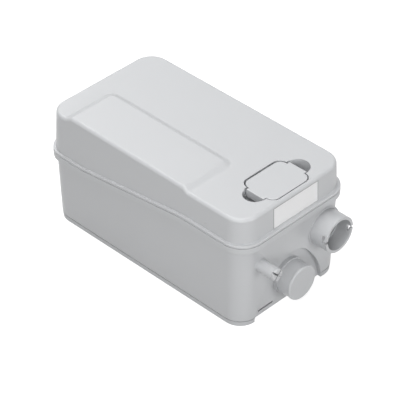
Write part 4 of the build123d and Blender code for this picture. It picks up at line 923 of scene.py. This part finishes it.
def make_hose():
    """Bent hose, drawn flat from a ring, bored at both ends for its stubs, then turned into place."""
    across, up = HOSE_END[1] - HOSE_START[1], HOSE_END[2] - HOSE_START[2]
    rise, run = hypot(across, up), HOSE_END[0] - HOSE_LEAD - HOSE_START[0] - HOSE_RUN
    turn = atan2(rise, run)
    trim = HOSE_BEND * tan(turn / 2)
    slant = hypot(rise, run) - 2 * trim
    deselect()
    bpy.ops.mesh.primitive_circle_add(
        vertices=64, radius=HOSE_RADIUS * MM, fill_type="NGON",
        location=(HOSE_START[0] * MM, 0, 0), rotation=(0, pi / 2, 0),
    )
    hose = settle(bpy.context.object, "hose_body")
    bpy.ops.object.mode_set(mode="EDIT")
    bpy.ops.mesh.select_mode(type="FACE")
    bpy.ops.mesh.select_all(action="SELECT")
    pull((HOSE_RUN - trim, 0, 0))
    pull_round((HOSE_START[0] + HOSE_RUN - trim, 0, HOSE_BEND), turn, 8)
    pull((slant * cos(turn), 0, slant * sin(turn)))
    pull_round((HOSE_END[0] - HOSE_LEAD + trim, 0, rise - HOSE_BEND), -turn, 8)
    pull((HOSE_LEAD - trim, 0, 0))
    deselect()
    tidy_mesh(hose)
    for end, depth in ((HOSE_START[0], HOSE_RUN - trim - 1.0), (HOSE_END[0], -23.0)):
        pick(hose, "FACE", lambda f: abs(f.calc_center_median().x - end * MM) < 0.01 * MM)
        bpy.ops.mesh.inset(thickness=HOSE_WALL * MM)
        bpy.ops.mesh.extrude_region_move(TRANSFORM_OT_translate={"value": (depth * MM, 0, 0)})
        deselect()
    tidy_mesh(hose)
    hose.rotation_euler = (-atan2(across, up), 0, 0)
    hose.location = (0, HOSE_START[1] * MM, HOSE_START[2] * MM)
    settle(hose, "hose_body")
    smooth(hose)
    return hose


def pull(step):
    """Draws the selected ring out along a straight line."""
    bpy.ops.mesh.extrude_region_move(TRANSFORM_OT_translate={"value": [a * MM for a in step]})


def pull_round(centre, turn, steps):
    """Draws the selected ring out along a bend about a point, in the XZ plane."""
    for _ in range(steps):
        bpy.ops.mesh.extrude_region_move(TRANSFORM_OT_translate={"value": (0, 0, 0)})
        bpy.ops.transform.rotate(
            value=turn / steps, orient_axis="Y", center_override=[a * MM for a in centre]
        )


def add_node(tree, kind, **values):
    """New node with its settings."""
    made = tree.nodes.new(kind)
    for name, value in values.items():
        setattr(made, name, value)
    return made


def feed(tree, place, value):
    """Links a socket to an input, or sets the input to a plain value."""
    if isinstance(value, bpy.types.NodeSocket):
        tree.links.new(value, place)
    elif value is not None:
        place.default_value = value


def reckon(tree, operation, *values):
    """Result of one step of arithmetic on sockets and numbers."""
    node = add_node(tree, "ShaderNodeMath", operation=operation)
    for place, value in zip(node.inputs, values):
        feed(tree, place, value)
    return node.outputs[0]


def noise(tree, place, scale, detail, roughness=0.5):
    """Noise pattern at a place."""
    node = add_node(tree, "ShaderNodeTexNoise")
    for name, value in (("Vector", place), ("Scale", scale), ("Detail", detail), ("Roughness", roughness)):
        feed(tree, node.inputs[name], value)
    return node.outputs["Fac"]


def axis_of(tree, place, axis):
    """One coordinate of a place."""
    split = add_node(tree, "ShaderNodeSeparateXYZ")
    tree.links.new(place, split.inputs[0])
    return split.outputs[axis]


def new_group(name, inputs, outputs):
    """Shader group that takes a place and some settings; gives back its inner ends."""
    group = bpy.data.node_groups.new(name, "ShaderNodeTree")
    for label, kind, value in (("Place", "Vector", None), *inputs):
        made = group.interface.new_socket(name=label, in_out="INPUT", socket_type="NodeSocket" + kind)
        if value is not None:
            made.default_value = value
    for label in outputs:
        group.interface.new_socket(name=label, in_out="OUTPUT", socket_type="NodeSocketFloat")
    return group, add_node(group, "NodeGroupInput").outputs, add_node(group, "NodeGroupOutput").inputs


def moulded_grain_group():
    """Fine eroded grain with slow mottling, as on moulded plastic."""
    settings = (("Grain Size", "Float", 1600.0), ("Mottling", "Float", 0.02))
    group, given, result = new_group("moulded_grain", settings, ("Tone", "Roughness Change", "Height"))
    fine = noise(group, given["Place"], given["Grain Size"], 3.0, 0.55)
    slow = noise(group, given["Place"], 22.0, 2.0)
    swing = reckon(group, "SUBTRACT", slow, 0.5)
    feed(group, result["Tone"], reckon(group, "MULTIPLY_ADD", swing, given["Mottling"], 1.0))
    feed(group, result["Roughness Change"], reckon(group, "MULTIPLY", swing, 0.12))
    feed(group, result["Height"], fine)
    return group


def brushed_group():
    """Drawn or turned metal: fine lines across one direction."""
    settings = (("Stretch", "Vector", (1.0, 1.0, 40.0)), ("Depth", "Float", 0.15))
    group, given, result = new_group("brushed_lines", settings, ("Tone", "Height"))
    stretch = add_node(group, "ShaderNodeVectorMath", operation="MULTIPLY")
    feed(group, stretch.inputs[0], given["Place"])
    feed(group, stretch.inputs[1], given["Stretch"])
    lines = noise(group, stretch.outputs[0], 90.0, 4.0)
    swing = reckon(group, "SUBTRACT", lines, 0.5)
    feed(group, result["Tone"], reckon(group, "MULTIPLY_ADD", swing, given["Depth"], 1.0))
    feed(group, result["Height"], lines)
    return group


def stacked_group():
    """Thin stacked sheets: level lines one above the other."""
    group, given, result = new_group("stacked_sheets", (("Pitch", "Float", 0.001),), ("Tone", "Height"))
    count = reckon(group, "DIVIDE", axis_of(group, given["Place"], "Z"), given["Pitch"])
    sheet = reckon(group, "GREATER_THAN", reckon(group, "FRACT", count), 0.28)
    feed(group, result["Tone"], reckon(group, "MULTIPLY_ADD", sheet, 0.45, 0.55))
    feed(group, result["Height"], sheet)
    return group


groups = {"grain": moulded_grain_group(), "lines": brushed_group(), "sheets": stacked_group()}


def surface(name, colour, group, roughness, metallic=0.0, bump=0.0, settings=None):
    """Material whose tone, roughness and fine relief come from one of the shared groups."""
    made = bpy.data.materials.new(name)
    made.use_nodes = True
    tree = made.node_tree
    shader = tree.nodes["Principled BSDF"]
    shader.inputs["Metallic"].default_value = metallic
    place = add_node(tree, "ShaderNodeTexCoord")
    effect = add_node(tree, "ShaderNodeGroup", node_tree=groups[group])
    for key, value in (settings or {}).items():
        effect.inputs[key].default_value = value
    feed(tree, effect.inputs["Place"], place.outputs["Object"])
    paint = add_node(tree, "ShaderNodeVectorMath", operation="SCALE")
    paint.inputs[0].default_value = colour
    feed(tree, paint.inputs["Scale"], effect.outputs["Tone"])
    feed(tree, shader.inputs["Base Color"], paint.outputs["Vector"])
    if "Roughness Change" in effect.outputs:
        roughness = reckon(tree, "ADD", effect.outputs["Roughness Change"], roughness)
    feed(tree, shader.inputs["Roughness"], roughness)
    if bump:
        relief = add_node(tree, "ShaderNodeBump")
        relief.inputs["Strength"].default_value = bump
        relief.inputs["Distance"].default_value = 0.1 * MM
        feed(tree, relief.inputs["Height"], effect.outputs["Height"])
        feed(tree, shader.inputs["Normal"], relief.outputs["Normal"])
    return made


def label_film_with_painted_shade():
    """Pale film with a painted shade strip along its near side and its top, standing in for the shadow
    that the recess edge casts there.
    """
    colour = (0.850, 0.850, 0.855)
    made = surface("label_film", colour, "grain", 0.30, bump=0.03, settings={"Mottling": 0.01})
    tree = made.node_tree
    shader = tree.nodes["Principled BSDF"]
    paint = shader.inputs["Base Color"].links[0].from_socket
    place = add_node(tree, "ShaderNodeTexCoord").outputs["Object"]
    # Mask of the painted shade: the strip past the near edge of the label and above its top.
    near = reckon(tree, "LESS_THAN", axis_of(tree, place, "Y"), (LABEL_Y - LABEL_WIDTH / 2) * MM)
    above = reckon(tree, "GREATER_THAN", axis_of(tree, place, "Z"), (LABEL_LOW + LABEL_HEIGHT) * MM)
    painted_shade_mix = add_node(tree, "ShaderNodeMix", data_type="RGBA")
    feed(tree, painted_shade_mix.inputs["Factor"], reckon(tree, "MAXIMUM", near, above))
    feed(tree, painted_shade_mix.inputs["A"], paint)
    painted_shade_mix.inputs["B"].default_value = (0.08, 0.08, 0.08, 1.0)
    feed(tree, shader.inputs["Base Color"], painted_shade_mix.outputs["Result"])
    return made


materials = {
    "shell": surface("grey_plastic", (0.540, 0.548, 0.560), "grain", 0.34, bump=0.06),
    # The label film carries painted shade along its near side and top.
    "label": label_film_with_painted_shade(),
    "gasket": surface("seal_rubber", (0.030, 0.030, 0.030), "grain", 0.60, bump=0.2),
    "diaphragm": surface("sheet_rubber", (0.050, 0.050, 0.055), "grain", 0.55, bump=0.2),
    "flap": surface("flap_rubber", (0.060, 0.060, 0.060), "grain", 0.55, bump=0.25),
    "valve": surface("valve_plastic", (0.400, 0.410, 0.420), "grain", 0.40, bump=0.1),
    "deck": surface("deck_plastic", (0.200, 0.210, 0.220), "grain", 0.45, bump=0.2),
    "pump": surface("pump_plastic", (0.050, 0.050, 0.055), "grain", 0.45, bump=0.25),
    "hose": surface("hose_rubber", (0.035, 0.035, 0.035), "grain", 0.50, bump=0.25),
    "clips": surface("spring_steel", (0.620, 0.620, 0.600), "lines", 0.28, metallic=1.0),
    "motor_shell": surface("cast_aluminium", (0.600, 0.610, 0.620), "grain", 0.48, metallic=1.0, bump=0.5,
                           settings={"Grain Size": 900.0, "Mottling": 0.15}),
    "laminations": surface("sheet_stack", (0.300, 0.300, 0.310), "sheets", 0.38, metallic=1.0, bump=0.6),
    "windings": surface("copper_wire", (0.720, 0.330, 0.140), "lines", 0.30, metallic=1.0, bump=0.6,
                        settings={"Stretch": (3.0, 3.0, 30.0), "Depth": 0.9}),
    "bright_steel": surface("ground_steel", (0.640, 0.640, 0.630), "lines", 0.20, metallic=1.0, bump=0.1),
    "screws": surface("screw_steel", (0.620, 0.620, 0.610), "lines", 0.26, metallic=1.0, bump=0.1),
    "switch": surface("switch_plastic", (0.080, 0.080, 0.085), "grain", 0.32, bump=0.1),
    "plunger": surface("red_acetal", (0.750, 0.200, 0.100), "grain", 0.35, bump=0.1),
    "capacitor": surface("can_plastic", (0.780, 0.780, 0.760), "grain", 0.30, bump=0.1),
    "saddle": surface("saddle_nylon", (0.100, 0.100, 0.100), "grain", 0.45, bump=0.2),
    "terminal": surface("terminal_plastic", (0.800, 0.800, 0.780), "grain", 0.35, bump=0.1),
    "terminal_brass": surface("plain_brass", (0.780, 0.620, 0.280), "lines", 0.30, metallic=1.0),
    "gland": surface("gland_nylon", (0.120, 0.120, 0.125), "grain", 0.45, bump=0.2),
    "charcoal": surface("charcoal_fleece", (0.045, 0.045, 0.045), "grain", 0.90, bump=1.0,
                        settings={"Grain Size": 500.0, "Mottling": 0.6}),
}


def dress(piece, slot):
    """Gives a piece its one material."""
    piece.data.materials.clear()
    piece.data.materials.append(materials[slot])


def place_piece(piece, name, node, body, slot):
    """Sets a finished piece in the place of a solid."""
    piece.name = name
    piece.data.name = name
    dress(piece, slot)
    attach(piece, body)
    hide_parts(node)
    return piece


slot_of = {row["node"]: row["material_slot"] for row in frame["record"]["subparts"]}
for node, thing in frame["nodes"].items():
    dress(thing, slot_of[node])

remodelled = (
    (make_lid, "lid_moulding", "lid", "lid_body"),
    (make_tank, "tank_moulding", "tank", "tank_body"),
    (make_filter_cover, "filter_cover_moulding", "filter_cover", "filter_cover_body"),
    (make_label, "rating_label_film", "rating_label", "lid_body"),
    (make_inlet_plug, "inlet_plug_moulding", "inlet_plug", "inlet_plug_body"),
    (make_small_plug, "small_plug_moulding", "small_plug", "small_plug_body"),
    (make_gasket, "gasket_moulding", "lid_gasket", "tank_body"),
    (make_flap, "flap_moulding", "non_return_flap", "flap_body"),
    (make_plug_seal, "plug_seal_ring", "inlet_plug_seal", "inlet_plug_body"),
    (make_filter_pad, "charcoal_pad", "carbon_filter", "lid_body"),
    (make_damper, "damper_moulding", "motor_damper", "tank_body"),
    (make_hose, "bent_hose", "discharge_hose", "tank_body"),
)
for make, name, node, body in remodelled:
    place_piece(make(), name, node, body, slot_of[node])


# Studio: how bright the floor and the surroundings are to the eye, in reflections and as light
FLOOR_TO_EYE, FLOOR_LIGHT = 0.84, 0.0
SURROUND_LIGHT, REFLECTED_WHITE = 0.0, 1.3


def ray_strength(tree, to_eye, reflected, light):
    """Strength that differs for what the camera sees, what is mirrored and what lights the object."""
    path = add_node(tree, "ShaderNodeLightPath").outputs
    seen = reckon(tree, "MULTIPLY_ADD", path["Is Camera Ray"], to_eye - light, light)
    return reckon(tree, "MULTIPLY_ADD", path["Is Glossy Ray"], reflected - light, seen)


def make_floor():
    """White studio floor: pure white to the camera, still dimmed where a shadow falls."""
    deselect()
    bpy.ops.mesh.primitive_plane_add(size=12.0, location=(0, 0, 0))
    floor = bpy.context.object
    floor.name = "studio_floor"
    made = bpy.data.materials.new("studio_white")
    made.use_nodes = True
    tree = made.node_tree
    shader = tree.nodes["Principled BSDF"]
    shader.inputs["Base Color"].default_value = (0.40, 0.40, 0.40, 1.0)
    shader.inputs["Roughness"].default_value = 0.9
    shader.inputs["Emission Color"].default_value = (1.0, 1.0, 1.0, 1.0)
    glow = ray_strength(tree, FLOOR_TO_EYE, 0.6 * REFLECTED_WHITE, FLOOR_LIGHT)
    feed(tree, shader.inputs["Emission Strength"], glow)
    floor.data.materials.append(made)


def make_world():
    """White surroundings, bright in reflections and dim as light."""
    world = bpy.data.worlds.new("studio")
    bpy.context.scene.world = world
    world.use_nodes = True
    tree = world.node_tree
    light = tree.nodes["Background"]
    light.inputs["Color"].default_value = (0.97, 0.985, 1.0, 1.0)
    glow = ray_strength(tree, 1.0, REFLECTED_WHITE, SURROUND_LIGHT)
    feed(tree, light.inputs["Strength"], glow)


def soft_light(name, place, size, power, target=(0.0, 0.0, 0.08)):
    """Square area light aimed at the object."""
    data = bpy.data.lights.new(name, "AREA")
    data.shape = "SQUARE"
    data.size = size
    data.energy = power
    lamp = bpy.data.objects.new(name, data)
    bpy.context.scene.collection.objects.link(lamp)
    lamp.location = place
    aim = Vector(target) - Vector(place)
    lamp.rotation_euler = aim.to_track_quat("-Z", "Y").to_euler()
    return lamp


def make_camera():
    """Camera at the place and lens found from the edges of the object in the photograph."""
    azimuth, elevation = radians(44.54), radians(38.02)
    distance, lens = 2.335, 194.8
    target = Vector((0.0, 0.0, 0.0678))
    across, upward = 0.00606, -0.0111
    back = Vector((sin(azimuth) * cos(elevation), -cos(azimuth) * cos(elevation), sin(elevation)))
    right = Vector((cos(azimuth), sin(azimuth), 0.0))
    up = back.cross(right)
    data = bpy.data.cameras.new("camera")
    data.lens = lens
    data.sensor_width = 36.0
    data.clip_start, data.clip_end = 0.05, 50.0
    camera = bpy.data.objects.new("camera", data)
    bpy.context.scene.collection.objects.link(camera)
    place = target + back * distance + right * across + up * upward
    turn = Matrix((right, up, back)).transposed().to_4x4()
    camera.matrix_world = Matrix.Translation(place) @ turn
    bpy.context.scene.camera = camera


make_floor()
make_world()
soft_light("front_light", (1.6, -1.63, 0.8), 0.9, 15.0)
soft_light("key_light", (1.13, -1.15, 1.90), 0.35, 5.0)
soft_light("top_light", (0.0, 0.0, 2.4), 1.6, 30.0)
soft_light("left_light", (0.2, -1.9, 1.6), 1.2, 15.0)
soft_light("right_light", (2.3, 0.2, 0.7), 0.9, 16.0)
soft_light("back_light", (-1.6, 0.4, 1.8), 1.8, 24.0)
make_camera()
bpy.context.scene.view_settings.view_transform = "Standard"

deselect()
